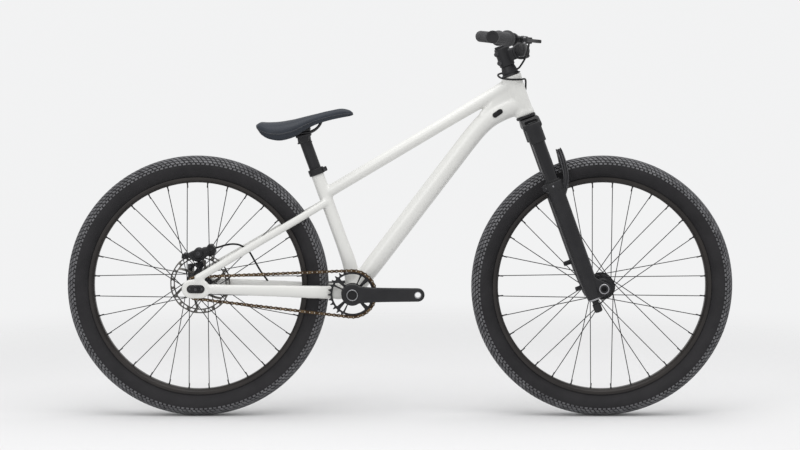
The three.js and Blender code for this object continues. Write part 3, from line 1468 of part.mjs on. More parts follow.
// The blade reaches out from its pivot and hooks forward at its tip.
function leverBlade() {
  const blade = new THREE.Group();
  blade.position.set(leverBodyOffset + leverPivotForward, leverPivotBack, 0);
  const width = leverBladeWidth / 2;
  const knuckle = leverPivotRadius - leverYokeGap;
  const length = leverBladeLength;
  const shape = new THREE.Shape();
  const root = -bladeRootShare * length;
  const middle = -bladeMiddleShare * length;
  const bend = -bladeBendShare * length;
  const bow = leverBladeBow;
  shape.moveTo(-knuckle, 0);
  shape.quadraticCurveTo(-knuckle, root, bow - width, middle);
  shape.quadraticCurveTo(bow, bend, bow + width / 2, -length);
  shape.quadraticCurveTo(bow + 2 * width, -length - leverBladeTipRadius, bow + 3 * width, -length);
  shape.quadraticCurveTo(bow + width, bend, bow + width, middle);
  shape.quadraticCurveTo(knuckle + width / 2, root, knuckle, 0);
  shape.quadraticCurveTo(0, knuckle * bladeCrownShare, -knuckle, 0);
  const options = { depth: leverBladeThickness, bevelEnabled: false, curveSegments: bladeBendSteps };
  const skin = new THREE.ExtrudeGeometry(shape, options).translate(0, 0, -leverBladeThickness / 2);
  const pinBore = boreFor(leverPivotPinRadius, boltSides);
  const hole = post(pinBore, -leverBladeThickness, leverBladeThickness, boltSides);
  addMesh(blade, "brake_lever_blade", cut(solid(skin), solid(hole)), materials.satinBlack);
  return blade;
}

// The fork's lower half slides on the stanchions: two legs, an arch in front and the axle's lugs.
function addLowers(lowers) {
  const pieces = [];
  const cuts = [];
  for (const [, side] of sides) {
    const leg = turnedUp([
      [0, -legFoot], [legFootRadius, -legFoot], [lowerLegTaperRadius, 0], [lowerLegRadius, legTaperLength],
      [lowerLegRadius, lowersTop - legCollar], [lowerLegRadius + legCollarProud, lowersTop - legCollar],
      [lowerLegRadius + legCollarProud, lowersTop], [0, lowersTop],
    ], fineSides);
    pieces.push(solid(leg.translate(legForward, side * legOffset, 0)));
    const boreFoot = lowersTop - lowersBoreDepth;
    const bore = post(boreFor(stanchionRadius), boreFoot, lowersTop + cutOverrun, fineSides);
    cuts.push(solid(bore.translate(legForward, side * legOffset, 0)));
    pieces.push(axleLug(side));
  }
  pieces.push(archBody(), ...postMounts());
  cuts.push(solid(drum(boreFor(frontAxleRadius), -wheelbase, wheelbase).translate(forkRake, 0, 0)));
  addMesh(lowers, "fork_lowers", cut(join(pieces), cuts), materials.satinBlack);
  for (const [word, side] of sides) {
    const foot = lowersTop + seatClearance;
    const seal = sleeveUp([
      [boreFor(stanchionRadius), foot], [sealRadius, foot], [sealRadius - sealLip, foot + sealLength],
      [boreFor(stanchionRadius), foot + sealLength],
    ]);
    const placed = geometryOf(seal).translate(legForward, side * legOffset, 0);
    addMesh(lowers, "wiper_seal_" + word, solid(placed), materials.rubberBlack);
  }
  addMesh(lowers, "front_axle", frontAxleBody(), materials.steel);
}

function axleLug(side) {
  const inner = side * axleLugInner;
  const shape = new THREE.Shape();
  shape.moveTo(legForward - legFootRadius, -legFoot / 2);
  shape.lineTo(legForward - legFootRadius, legTaperLength);
  shape.lineTo(legForward + legFootRadius, legTaperLength);
  shape.lineTo(forkRake + axleLugRadius * cos(PI / 4), axleLugRadius * sin(PI / 4));
  shape.absarc(forkRake, 0, axleLugRadius, PI / 4, -PI / 2, true);
  shape.lineTo(legForward, -legFoot);
  return solid(sidePlate(shape, inner, inner + side * axleLugThickness));
}

// The arch bows forward and over the tyre from leg to leg.
function archBody() {
  const foot = lowersTop - archRoot;
  const points = archShares.map(([forward, across, rise]) =>
    v3(legForward + forward * archForward, -across * legOffset, foot + rise * archRise),
  );
  const mirrored = points.slice(0, -1).map((point) => v3(point.x, -point.y, point.z)).reverse();
  const curve = smooth([...points, ...mirrored]);
  return solid(ovalTube(curve, v3(1, 0, 0), () => [archHalfHeight, archHalfDepth], archSteps, staySides));
}

// Two bosses behind the left leg carry a brake where one is fitted.
function postMounts() {
  return [-1, 1].map((way) => {
    const place = postMountMid + (way * postMountSpacing) / 2;
    const boss = drum(postMountRadius, 0, postMountReach + lowerLegRadius, smallSides).rotateZ(PI / 2);
    return solid(boss.translate(legForward, legOffset - postMountInward, place));
  });
}

function frontAxleBody() {
  const inner = axleLugInner - hubLipWidth;
  const outer = axleLugInner + axleLugThickness + seatClearance;
  const shaft = drum(frontAxleRadius, -outer - axleRingThickness, outer + axleRingThickness);
  const spacers = sides.map(([, side]) => {
    const span = [side * (frontHubHalf + seatClearance), side * (axleLugInner - seatClearance)];
    return solid(drum(frontSpacerRadius, ...span, smallSides));
  });
  const rings = sides.map(([, side]) => {
    return solid(drum(axleRingRadius, side * outer, side * (outer + axleRingThickness)));
  });
  const hole = drum(frontAxleBoreRadius, -outer - cutOverrun, -inner, smallSides);
  const axle = cut(join(solid(shaft), ...spacers, ...rings), solid(hole));
  return solid(geometryOf(axle).translate(forkRake, 0, 0));
}

function addKnob(lowers) {
  const top = -legFoot - seatClearance;
  const knob = turnedUp([
    [0, top - knobLength], [knobWaistRadius, top - knobLength],
    [knobRadius, top - knobLength * knobChamferShare], [knobRadius, top - knobLength * knobShoulderShare],
    [knobWaistRadius, top - knobLength * knobNeckShare], [knobWaistRadius, top], [0, top],
  ], smallSides);
  addMesh(lowers, "rebound_knob", solid(knob.translate(legForward, -legOffset, 0)), materials.satinBlack);
}

function addFork(root) {
  const steering = new THREE.Group();
  steering.position.copy(steerFoot);
  steering.rotation.y = -headTilt;
  addSteering(steering);
  addHandlebar(steering);
  addLever(steering);
  const lowers = new THREE.Group();
  addLowers(lowers);
  addKnob(lowers);
  steering.add(lowers);
  root.add(steering);
}

// Seat collar, with its ears and bolt ahead of the post.
function addCollar(root) {
  const collar = new THREE.Group();
  collar.position.copy(onSeat(0));
  collar.rotation.y = -seatTilt;
  const foot = seatTubeLength - collarHeight;
  const bore = boreFor(seatTubeRadius);
  const ring = sleeveUp([
    [bore, foot], [collarRadius, foot], [collarRadius, seatTubeLength + collarLip],
    [bore, seatTubeLength + collarLip],
  ]);
  const earReach = collarEarReach - bore;
  const ears = new THREE.BoxGeometry(earReach, collarEarWidth, collarHeight);
  ears.translate(collarEarReach - earReach / 2, 0, foot + collarHeight / 2);
  const hole = post(bore, foot - cutOverrun, seatTubeLength + cutOverrun);
  const slit = new THREE.BoxGeometry(collarEarReach, seatSlotWidth, collarHeight + cutOverrun);
  slit.translate(collarEarReach, 0, foot + collarHeight / 2);
  const bolt = drum(collarBoltRadius, -collarBoltLength / 2, collarBoltLength / 2, boltSides);
  bolt.translate(collarEarReach - 2 * collarBoltRadius, 0, foot + collarHeight / 2);
  const body = join(cut(join(ring, solid(ears)), solid(hole), solid(slit)), solid(bolt));
  addMesh(collar, "seat_collar", body, materials.satinBlack);
  root.add(collar);
}

// The post's head cradles the rails, and the saddle stands on it at its own tilt.
function addSeat(root) {
  const seat = new THREE.Group();
  seat.position.copy(onSeat(0));
  seat.rotation.y = -seatTilt;
  const headPlace = seatTubeLength + postHeadOffset;
  const shaft = solid(post(seatPostRadius, seatTubeLength - postInsertion, headPlace));
  const headHalf = railSpacing / 2 - railRadius - seatClearance;
  const head = solid(drum(postHeadRadius, -headHalf, headHalf).translate(0, 0, headPlace));
  const perch = new THREE.Group();
  perch.position.copy(onSeat(headPlace));
  perch.rotation.y = -rad(saddleTilt);
  const cradleTop = railHeight - railRadius - seatClearance;
  const cradle = new THREE.BoxGeometry(clampLength, clampWidth, clampThickness);
  cradle.translate(0, 0, cradleTop - clampThickness / 2);
  const turnedCradle = cradle.rotateY(seatTilt - rad(saddleTilt)).translate(0, 0, headPlace);
  const boltHoles = clampBolts(boreFor(clampBoltRadius, boltSides)).map((bolt) =>
    solid(bolt.rotateY(seatTilt - rad(saddleTilt)).translate(0, 0, headPlace)),
  );
  addMesh(seat, "seatpost", cut(join(shaft, head, solid(turnedCradle)), boltHoles), materials.satinBlack);
  const clampFoot = railHeight + railRadius + seatClearance;
  const clamp = new THREE.BoxGeometry(clampLength, clampWidth, clampThickness);
  clamp.translate(0, 0, clampFoot + clampThickness / 2);
  const bolts = clampBolts(clampBoltRadius).map(solid);
  addMesh(perch, "rail_clamp", join(solid(clamp), ...bolts), materials.satinBlack);
  addMesh(perch, "saddle_rails", railsBody(0), materials.steel);
  addMesh(perch, "saddle", saddleBody(), materials.saddleSlate);
  root.add(seat, perch);
}

const clampBolts = (radius) =>
  [-1, 1].map((way) =>
    post(radius, railHeight - clampBoltDrop, railHeight + railRadius + clampThickness, boltSides)
      .translate((way * (clampLength - 4 * clampBoltRadius)) / 2, 0, 0),
  );

function railLine(side) {
  const across = (side * railSpacing) / 2;
  const nose = (side * railNoseSpacing) / 2;
  const straight = clampLength / 2 + railRadius;
  const rear = railRearShares.map(([along, rise]) =>
    v3(-along * railRearReach, across, lerp(railHeight, railRearHeight, rise)),
  );
  const front = railFrontShares.map(([along, turnIn, rise]) => {
    const height = lerp(railHeight, railFrontHeight, rise);
    return v3(lerp(straight, railFrontReach, along), lerp(across, nose, turnIn), height);
  });
  const clamped = [-straight, 0, straight].map((along) => v3(along, across, railHeight));
  return smooth([...rear, ...clamped, ...front]);
}

// Two rails under the saddle, joined by a bar inside its nose.
function railsBody(extra) {
  const radius = railRadius + extra;
  const rails = sides.map(([, side]) => solid(rod(railLine(side), radius, railSteps, boltSides)));
  const cross = drum(radius, -railNoseSpacing / 2 - extra, railNoseSpacing / 2 + extra, boltSides)
    .translate(railFrontReach, 0, railFrontHeight);
  return join(...rails, solid(cross));
}

// Places along the saddle, then its top, skirt and half width as shares of its height and half width.
const saddleShares = [
  [0, 0.89, 0.745, 0.56], [0.05, 0.96, 0.4, 0.82], [0.13, 0.9, 0.177, 0.97], [0.24, 0.853, 0.06, 1],
  [0.37, 0.857, 0.117, 0.88], [0.49, 0.9, 0.333, 0.65], [0.62, 0.95, 0.503, 0.44], [0.755, 1, 0.582, 0.33],
  [0.885, 1, 0.612, 0.28], [0.965, 0.888, 0.62, 0.21], [1, 0.748, 0.648, 0.1],
];
// Half a section from the crown's middle round the side to the hollow under the base.
const saddleSectionShares = [
  [0, 1], [0.34, 0.985], [0.64, 0.93], [0.87, 0.8], [1, 0.5], [0.95, 0.12], [0.82, 0], [0.65, 0.3],
  [0.55, 0.5], [0, 0.55],
];

function saddleBody() {
  const rings = saddleShares.map(([along, top, skirt, width]) => {
    const x = -saddleRearReach + along * saddleLength;
    const place = ([across, rise], side) =>
      v3(x, (side * across * width * saddleWidth) / 2, lerp(skirt, top, rise) * saddleHeight);
    const half = saddleSectionShares.map((share) => place(share, 1));
    const other = saddleSectionShares.slice(1, -1).map((share) => place(share, -1)).reverse();
    return [...half, ...other];
  });
  return cut(solid(loft(rings)), railsBody(seatClearance));
}

const bicycle = new THREE.Group();
addFrame(bicycle);
addHeadset(bicycle);
addCollar(bicycle);
addRearAxle(bicycle);
addRearBrake(bicycle);
addHoses(bicycle);
addCranks(bicycle);
addFork(bicycle);
addFrontWheel(bicycle);
addRearWheel(bicycle);
addSeat(bicycle);

export default bicycle;
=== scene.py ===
import bpy
import bmesh
from math import asin, atan2, cos, dist, exp, hypot, pi, radians, sin, tan
from mathutils import Matrix, Vector


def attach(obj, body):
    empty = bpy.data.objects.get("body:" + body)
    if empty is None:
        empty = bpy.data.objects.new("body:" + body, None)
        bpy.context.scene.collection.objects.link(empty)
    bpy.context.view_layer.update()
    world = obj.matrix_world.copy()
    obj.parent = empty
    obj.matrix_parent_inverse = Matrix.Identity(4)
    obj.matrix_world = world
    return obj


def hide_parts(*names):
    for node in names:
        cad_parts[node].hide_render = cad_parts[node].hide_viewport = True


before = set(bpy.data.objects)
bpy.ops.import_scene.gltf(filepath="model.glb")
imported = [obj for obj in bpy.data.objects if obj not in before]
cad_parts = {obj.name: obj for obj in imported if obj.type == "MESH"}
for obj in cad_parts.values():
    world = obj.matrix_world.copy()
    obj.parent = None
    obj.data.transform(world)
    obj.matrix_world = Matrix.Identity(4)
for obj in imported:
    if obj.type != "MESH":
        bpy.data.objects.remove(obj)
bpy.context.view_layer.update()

print("stage: the packed model is loaded")

# Places and angles that several pieces share, in metres and radians.
bike = {
    "rearAxle": Vector((-0.5285, 0, 0.342)),
    "frontAxle": Vector((0.5285, 0, 0.342)),
    "bracket": Vector((-0.1237, 0, 0.3265)),  # middle of the crank axle
    "steerFoot": Vector((0.4937314, 0, 0.3293453)),
    "headAngle": radians(70),
    "seatAngle": radians(70.2),
    "seatOffset": 0.019,
}
headTurn = Matrix.Rotation(-(pi / 2 - bike["headAngle"]), 4, "Y")
seatTurn = Matrix.Rotation(-(pi / 2 - bike["seatAngle"]), 4, "Y")
onFork = Matrix.Translation(bike["steerFoot"]) @ headTurn  # along and ahead of the steering axis
onSeat = Matrix.Translation(bike["bracket"] + Vector((bike["seatOffset"], 0, 0))) @ seatTurn
onRear = Matrix.Translation(bike["rearAxle"])
onFront = Matrix.Translation(bike["frontAxle"])
onCrank = Matrix.Translation(bike["bracket"])
alongY = Matrix.Rotation(-pi / 2, 4, "X")  # a piece made along Z then points to the left
faceRight = Matrix.Rotation(pi / 2, 4, "X")
faceOut = {-1: faceRight, 1: alongY}
faceAhead = Matrix.Rotation(pi / 2, 4, "Y")
faceBack = Matrix.Rotation(-pi / 2, 4, "Y")
quarterTurn = Matrix.Rotation(pi / 2, 4, "Z")
flatPlate = alongY @ Matrix.Scale(-1, 4, (0, 0, 1))  # lays a plate's outline down, seen from above
bothSides = (("Right", -1), ("Left", 1))
past = 5  # how far a cutter reaches beyond what it cuts, in mm


def mm(*values):
    return Vector([value / 1000 for value in values])


def shift(*values):
    return Matrix.Translation(mm(*values))


def steer(up):
    return onFork @ mm(0, 0, up)


def seat(up):
    return onSeat @ mm(0, 0, up)


def mix(a, b, share):
    return a + (b - a) * share


def allRound(steps):
    return [2 * pi * k / steps for k in range(steps)]


def newObject(name, mesh):
    piece = bpy.data.objects.new(name, mesh)
    bpy.context.scene.collection.objects.link(piece)
    return piece


def meshFrom(name, corners, faces, place=None, sharpAngle=32):
    mesh = bpy.data.meshes.new(name)
    mesh.from_pydata([tuple(corner) for corner in corners], [], faces)
    tidyMesh(mesh, place, sharpAngle)
    return mesh


def shade(mesh, sharpAngle):
    mesh.polygons.foreach_set("use_smooth", [True] * len(mesh.polygons))
    mesh.set_sharp_from_angle(angle=radians(sharpAngle))


def tidyMesh(mesh, place=None, sharpAngle=32):
    work = bmesh.new()
    work.from_mesh(mesh)
    bmesh.ops.remove_doubles(work, verts=work.verts, dist=2e-6)
    bmesh.ops.dissolve_degenerate(work, edges=work.edges, dist=1e-7)
    if place:
        bmesh.ops.transform(work, matrix=place, verts=work.verts)
    bmesh.ops.recalc_face_normals(work, faces=work.faces)
    work.to_mesh(mesh)
    work.free()
    shade(mesh, sharpAngle)
    mesh.update()


def joinMeshes(name, meshes, sharpAngle=32):
    work = bmesh.new()
    for mesh in meshes:
        work.from_mesh(mesh)
    whole = bpy.data.meshes.new(name)
    work.to_mesh(whole)
    work.free()
    shade(whole, sharpAngle)
    return whole


def frozen(piece):
    # a plain mesh of a piece with its modifiers applied
    return bpy.data.meshes.new_from_object(piece.evaluated_get(bpy.context.evaluated_depsgraph_get()))


def loft(rings, closed=False, capped=True):
    count = len(rings[0])
    corners = [corner for ring in rings for corner in ring]
    faces = []
    last = len(rings) if closed else len(rings) - 1
    for i in range(last):
        for j in range(count):
            a, b = i * count + j, i * count + (j + 1) % count
            c, d = ((i + 1) % len(rings)) * count + (j + 1) % count, ((i + 1) % len(rings)) * count + j
            faces.append((a, b, c, d))
    if capped and not closed:
        faces.append(tuple(reversed(range(count))))
        faces.append(tuple((len(rings) - 1) * count + j for j in range(count)))
    return corners, faces


def turned(name, profile, place, steps=64, sharpAngle=32):
    # profile holds (radius, height) in mm and closes on itself or on the axis
    rings = []
    for radius, height in profile:
        rings.append([mm(radius * cos(t), radius * sin(t), height) for t in allRound(steps)])
    onAxis = profile[0][0] == 0 and profile[-1][0] == 0
    corners, faces = loft(rings, closed=not onAxis, capped=False)
    return meshFrom(name, corners, faces, place, sharpAngle)


def rod(radius, low, high):
    # the profile of a solid round piece
    return [(0, low), (radius, low), (radius, high), (0, high)]


def pipe(inner, outer, low, high):
    return [(inner, low), (outer, low), (outer, high), (inner, high)]


def rounded(profile, size, steps=3):
    # breaks each corner of a (radius, height) profile with a small round, except on the axis
    points = []
    count = len(profile)
    closed = not (profile[0][0] == 0 and profile[-1][0] == 0)
    for i, corner in enumerate(profile):
        here = Vector(corner)
        if not closed and i in (0, count - 1):
            points.append(corner)
            continue
        before = Vector(profile[i - 1]) - here
        after = Vector(profile[(i + 1) % count]) - here
        reach = min(size, before.length * 0.45, after.length * 0.45)
        start, end = here + before.normalized() * reach, here + after.normalized() * reach
        for k in range(steps + 1):
            t = k / steps
            spot = start * (1 - t) ** 2 + here * 2 * t * (1 - t) + end * t ** 2
            points.append((max(spot.x, 0), spot.y))
    return points


def splinePoints(points, count):
    # a smooth line through the points, evenly spaced
    nodes = [Vector(p) for p in points]
    fine = []
    for i in range(len(nodes) - 1):
        p0 = nodes[i - 1] if i else nodes[0] * 2 - nodes[1]
        p1, p2 = nodes[i], nodes[i + 1]
        p3 = nodes[i + 2] if i + 2 < len(nodes) else nodes[-1] * 2 - nodes[-2]
        knots = [0.0]
        for a, b in ((p0, p1), (p1, p2), (p2, p3)):
            knots.append(knots[-1] + max((b - a).length, 1e-9) ** 0.5)
        t0, t1, t2, t3 = knots
        for k in range(24):
            t = t1 + (t2 - t1) * k / 24
            a1 = p0 * ((t1 - t) / (t1 - t0)) + p1 * ((t - t0) / (t1 - t0))
            a2 = p1 * ((t2 - t) / (t2 - t1)) + p2 * ((t - t1) / (t2 - t1))
            a3 = p2 * ((t3 - t) / (t3 - t2)) + p3 * ((t - t2) / (t3 - t2))
            b1 = a1 * ((t2 - t) / (t2 - t0)) + a2 * ((t - t0) / (t2 - t0))
            b2 = a2 * ((t3 - t) / (t3 - t1)) + a3 * ((t - t1) / (t3 - t1))
            fine.append(b1 * ((t2 - t) / (t2 - t1)) + b2 * ((t - t1) / (t2 - t1)))
    fine.append(nodes[-1])
    return evenly(fine, count)


def evenly(points, count):
    lengths = [0.0]
    for a, b in zip(points, points[1:]):
        lengths.append(lengths[-1] + (b - a).length)
    result, i = [], 0
    for k in range(count + 1):
        want = lengths[-1] * k / count
        while i < len(points) - 2 and lengths[i + 1] < want:
            i += 1
        span = lengths[i + 1] - lengths[i]
        result.append(points[i].lerp(points[i + 1], (want - lengths[i]) / span if span else 0))
    return result


def tube(name, points, sizeAt, sides=32, upHint=Vector((0, 0, 1)), place=None, sharpAngle=40):
    # an oval tube along points in metres; sizeAt(share) gives its half width and half height in mm
    rings = []
    lastIndex = len(points) - 1
    for i, centre in enumerate(points):
        along = (points[min(i + 1, lastIndex)] - points[max(i - 1, 0)]).normalized()
        side = along.cross(upHint).normalized()
        top = side.cross(along)
        wide, high = sizeAt(i / lastIndex)
        rings.append([centre + side * (wide / 1000 * cos(t)) + top * (high / 1000 * sin(t))
            for t in allRound(sides)])
    corners, faces = loft(rings)
    return meshFrom(name, corners, faces, place, sharpAngle)


def roundTube(name, points, radius, sides=20, place=None, sharpAngle=40):
    # a round tube that keeps its turn along a free curve
    rings = []
    lastIndex = len(points) - 1
    side = None
    for i, centre in enumerate(points):
        along = (points[min(i + 1, lastIndex)] - points[max(i - 1, 0)]).normalized()
        if side is None:
            side = along.orthogonal().normalized()
        side = (side - along * side.dot(along)).normalized()
        top = along.cross(side)
        rings.append([centre + (side * cos(t) + top * sin(t)) * (radius / 1000) for t in allRound(sides)])
    corners, faces = loft(rings)
    return meshFrom(name, corners, faces, place, sharpAngle)


def plate(name, outlinePoints, fromY, toY, holes=(), place=None, edge=0.0, sharpAngle=32):
    # a side-view outline in mm, with holes, given thickness along Y and a small broken edge
    thick = abs(toY - fromY) / 1000
    curve = bpy.data.curves.new(name, "CURVE")
    curve.dimensions, curve.fill_mode = "2D", "BOTH"
    curve.extrude = thick / 2 - edge / 1000
    curve.bevel_depth, curve.bevel_resolution, curve.offset = edge / 1000, 1, -edge / 1000
    for points in [outlinePoints] + list(holes):
        line = curve.splines.new("POLY")
        line.points.add(len(points) - 1)
        for point, (x, z) in zip(line.points, points):
            point.co = (x / 1000, z / 1000, 0, 1)
        line.use_cyclic_u = True
    shape = newObject(name, curve)
    mesh = frozen(shape)
    bpy.data.objects.remove(shape)
    stand = shift(0, (fromY + toY) / 2, 0) @ faceRight
    tidyMesh(mesh, place @ stand if place else stand, sharpAngle)
    return mesh


def arc(x, z, radius, fromAngle, toAngle, steps):
    return [(x + radius * cos(t), z + radius * sin(t))
        for t in (fromAngle + (toAngle - fromAngle) * k / steps for k in range(steps + 1))]


def circle(x, z, radius, steps=32):
    return arc(x, z, radius, 0, 2 * pi, steps)[:-1]


def slot(length, width, x=0, z=0, turn=0, steps=8):
    points = []
    for end in (1, -1):
        for k in range(steps + 1):
            t = (k / steps - 0.5) * pi
            along = end * ((length - width) / 2 + width / 2 * cos(t))
            across = end * width / 2 * sin(t)
            points.append((x + along * cos(turn) - across * sin(turn),
                z + along * sin(turn) + across * cos(turn)))
    return points


def block(name, low, high, place=None, edge=1.0, steps=3):
    # a box between two corners in mm with rounded edges
    work = bmesh.new()
    bmesh.ops.create_cube(work, size=1)
    low, high = mm(*low), mm(*high)
    for vert in work.verts:
        vert.co = Vector([(low[i] + high[i]) / 2 + vert.co[i] * (high[i] - low[i]) for i in range(3)])
    if edge:
        bmesh.ops.bevel(work, geom=work.edges[:], offset=edge / 1000, segments=steps, profile=0.5,
            affect="EDGES", clamp_overlap=True)
    mesh = bpy.data.meshes.new(name)
    work.to_mesh(mesh)
    work.free()
    tidyMesh(mesh, place, 50)
    return mesh


def bolt(name, radius, height, place, socket=0.5):
    # a socket-head bolt standing on the XY plane
    profile = [(0, -1), (radius, -1), (radius, height), (radius * socket, height),
        (radius * socket, height * 0.35), (0, height * 0.35)]
    return turned(name, rounded(profile, 0.4), place, 24)


def bored(piece, cutters):
    # a plain mesh of the piece with the cutters taken out of it
    tools = []
    for cutter in cutters:
        tools.append(newObject(piece.name + "Bore", cutter))
        carve = piece.modifiers.new("bore", "BOOLEAN")
        carve.operation = "DIFFERENCE"
        carve.solver = "MANIFOLD"
        carve.object = tools[-1]
    mesh = frozen(piece)
    for item in [piece] + tools:
        bpy.data.objects.remove(item)
    return mesh


def blended(name, meshes, voxel, smoothing, cutters=()):
    # overlapping closed shells fused into one skin whose joints are filleted, then bored
    piece = newObject(name, joinMeshes(name, meshes))
    remesh = piece.modifiers.new("fuse", "REMESH")
    remesh.mode = "VOXEL"
    remesh.voxel_size = voxel
    remesh.use_smooth_shade = True
    relax = piece.modifiers.new("relax", "SMOOTH")
    relax.factor = 0.5
    relax.iterations = smoothing
    mesh = bored(piece, cutters)
    shade(mesh, 38)
    return mesh


def dress(name, meshes, material, body, nodes=(), sharpAngle=32):
    # one finished piece: its material, the body that it rides on and the solids that it stands for
    mesh = joinMeshes(name, meshes, sharpAngle) if isinstance(meshes, (list, tuple)) else meshes
    mesh.materials.clear()
    mesh.materials.append(material)
    piece = newObject(name, mesh)
    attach(piece, body)
    if nodes:
        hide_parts(*nodes)
    return piece


# Shader groups give colours, values and heights; the shaders stay in the materials.
def shaderGroup(name, inputs, outputs):
    group = bpy.data.node_groups.new(name, "ShaderNodeTree")
    for label, kind, value in inputs:
        socket = group.interface.new_socket(label, in_out="INPUT", socket_type="NodeSocket" + kind)
        socket.default_value = value
    for label, kind in outputs:
        group.interface.new_socket(label, in_out="OUTPUT", socket_type="NodeSocket" + kind)
    start = group.nodes.new("NodeGroupInput")
    end = group.nodes.new("NodeGroupOutput")
    return group, start, end


def linked(tree, kind, inputs=None, **settings):
    node = tree.nodes.new(kind)
    for name, value in settings.items():
        setattr(node, name, value)
    for key, value in (inputs or {}).items():
        if isinstance(value, bpy.types.NodeSocket):
            tree.links.new(value, node.inputs[key])
        else:
            node.inputs[key].default_value = value
    return node


def makeGrain():
    # two sizes of noise: a broad one for colour and sheen, a fine one for the surface
    group, start, end = shaderGroup("grain", [
        ("Base", "Color", (0.5, 0.5, 0.5, 1)), ("Tint", "Color", (0.4, 0.4, 0.4, 1)),
        ("Stretch", "Vector", (1, 1, 1)), ("Broad", "Float", 8.0), ("Fine", "Float", 300.0),
        ("Roughness", "Float", 0.5), ("Spread", "Float", 0.1),
    ], [("Color", "Color"), ("Roughness", "Float"), ("Height", "Float")])
    coords = linked(group, "ShaderNodeTexCoord")
    scaled = linked(group, "ShaderNodeVectorMath",
        {0: coords.outputs["Object"], 1: start.outputs["Stretch"]}, operation="MULTIPLY")
    broad = linked(group, "ShaderNodeTexNoise",
        {"Vector": scaled.outputs[0], "Scale": start.outputs["Broad"], "Detail": 5.0, "Roughness": 0.6})
    mask = linked(group, "ShaderNodeMapRange", {0: broad.outputs[0], 1: 0.35, 2: 0.65})
    colour = linked(group, "ShaderNodeMix", {0: mask.outputs[0], 6: start.outputs["Base"],
        7: start.outputs["Tint"]}, data_type="RGBA")
    centred = linked(group, "ShaderNodeMath", {0: mask.outputs[0], 1: 0.5}, operation="SUBTRACT")
    swing = linked(group, "ShaderNodeMath", {0: centred.outputs[0], 1: start.outputs["Spread"],
        2: start.outputs["Roughness"]}, operation="MULTIPLY_ADD")
    fine = linked(group, "ShaderNodeTexNoise", {"Vector": scaled.outputs[0], "Scale": start.outputs["Fine"],
        "Detail": 3.0, "Roughness": 0.55})
    group.links.new(colour.outputs[2], end.inputs["Color"])
    group.links.new(swing.outputs[0], end.inputs["Roughness"])
    group.links.new(fine.outputs[0], end.inputs["Height"])
    return group


def makeCells():
    # small rounded cells, as in a grained cover or moulded rubber
    group, start, end = shaderGroup("cells", [("Scale", "Float", 400.0), ("Soft", "Float", 0.4)],
        [("Height", "Float")])
    coords = linked(group, "ShaderNodeTexCoord")
    cells = linked(group, "ShaderNodeTexVoronoi",
        {"Vector": coords.outputs["Object"], "Scale": start.outputs["Scale"]}, feature="SMOOTH_F1")
    group.links.new(start.outputs["Soft"], cells.inputs["Smoothness"])
    group.links.new(cells.outputs["Distance"], end.inputs["Height"])
    return group


grain = makeGrain()
cells = makeCells()


def finish(name, settings):
    # one surface finish, from the grain group and its own settings
    material = bpy.data.materials.new(name)
    material.use_nodes = True
    tree = material.node_tree
    shader = tree.nodes["Principled BSDF"]
    surface = linked(tree, "ShaderNodeGroup", node_tree=grain)
    surface.inputs["Base"].default_value = (*settings["colour"], 1)
    surface.inputs["Tint"].default_value = (*settings["tint"], 1)
    surface.inputs["Stretch"].default_value = settings.get("stretch", (1, 1, 1))
    surface.inputs["Broad"].default_value = settings.get("broad", 9.0)
    surface.inputs["Fine"].default_value = settings.get("fine", 400.0)
    surface.inputs["Roughness"].default_value = settings["roughness"]
    surface.inputs["Spread"].default_value = settings.get("spread", 0.08)
    tree.links.new(surface.outputs["Color"], shader.inputs["Base Color"])
    tree.links.new(surface.outputs["Roughness"], shader.inputs["Roughness"])
    height = surface.outputs["Height"]
    if "cells" in settings:
        bumps = linked(tree, "ShaderNodeGroup", node_tree=cells)
        bumps.inputs["Scale"].default_value = settings["cells"]
        height = bumps.outputs["Height"]
    bump = linked(tree, "ShaderNodeBump", {"Height": height, "Strength": settings.get("bump", 0.1),
        "Distance": settings.get("depth", 0.0002)})
    tree.links.new(bump.outputs["Normal"], shader.inputs["Normal"])
    shader.inputs["Metallic"].default_value = settings.get("metallic", 0)
    shader.inputs["Coat Weight"].default_value = settings.get("coat", 0)
    shader.inputs["Coat Roughness"].default_value = settings.get("coatRoughness", 0.08)
    shader.inputs["Specular IOR Level"].default_value = settings.get("specular", 0.5)
    return material


paint = finish("framePaint", {
    "colour": (0.70, 0.70, 0.675), "tint": (0.685, 0.685, 0.665), "roughness": 0.34, "spread": 0.06,
    "broad": 5.0, "fine": 900.0, "bump": 0.0, "coat": 0.4, "coatRoughness": 0.2,
})
satin = finish("satinBlack", {
    "colour": (0.018, 0.018, 0.020), "tint": (0.026, 0.026, 0.028), "roughness": 0.42, "spread": 0.08,
    "broad": 14.0, "fine": 1200.0, "bump": 0.12, "metallic": 0.2, "specular": 0.27,
})
gloss = finish("glossBlack", {
    "colour": (0.010, 0.010, 0.012), "tint": (0.014, 0.014, 0.016), "roughness": 0.13, "spread": 0.04,
    "stretch": (1, 1, 0.15), "fine": 1500.0, "bump": 0.02, "metallic": 0.1, "specular": 0.3, "coat": 0.12,
})
rimFinish = finish("rimBlack", {
    "colour": (0.019, 0.0165, 0.016), "tint": (0.028, 0.024, 0.022), "roughness": 0.38, "spread": 0.08,
    "broad": 12.0, "fine": 1100.0, "bump": 0.08, "metallic": 0.4,
})
tyreFinish = finish("tyreRubber", {
    "colour": (0.017, 0.0165, 0.018), "tint": (0.026, 0.025, 0.027), "roughness": 0.74, "spread": 0.12,
    "broad": 18.0, "fine": 700.0, "bump": 0.30, "depth": 0.0004, "specular": 0.22,
})
# the knobs: the casing's rubber painted lighter, with a brighter tint, as painted highlight where light
# catches the knob faces
treadPaintedHighlight = finish("treadRubber", {
    "colour": (0.062, 0.062, 0.067), "tint": (0.150, 0.150, 0.158), "roughness": 0.55, "spread": 0.16,
    "broad": 60.0, "fine": 900.0, "bump": 0.25, "depth": 0.0003,
})
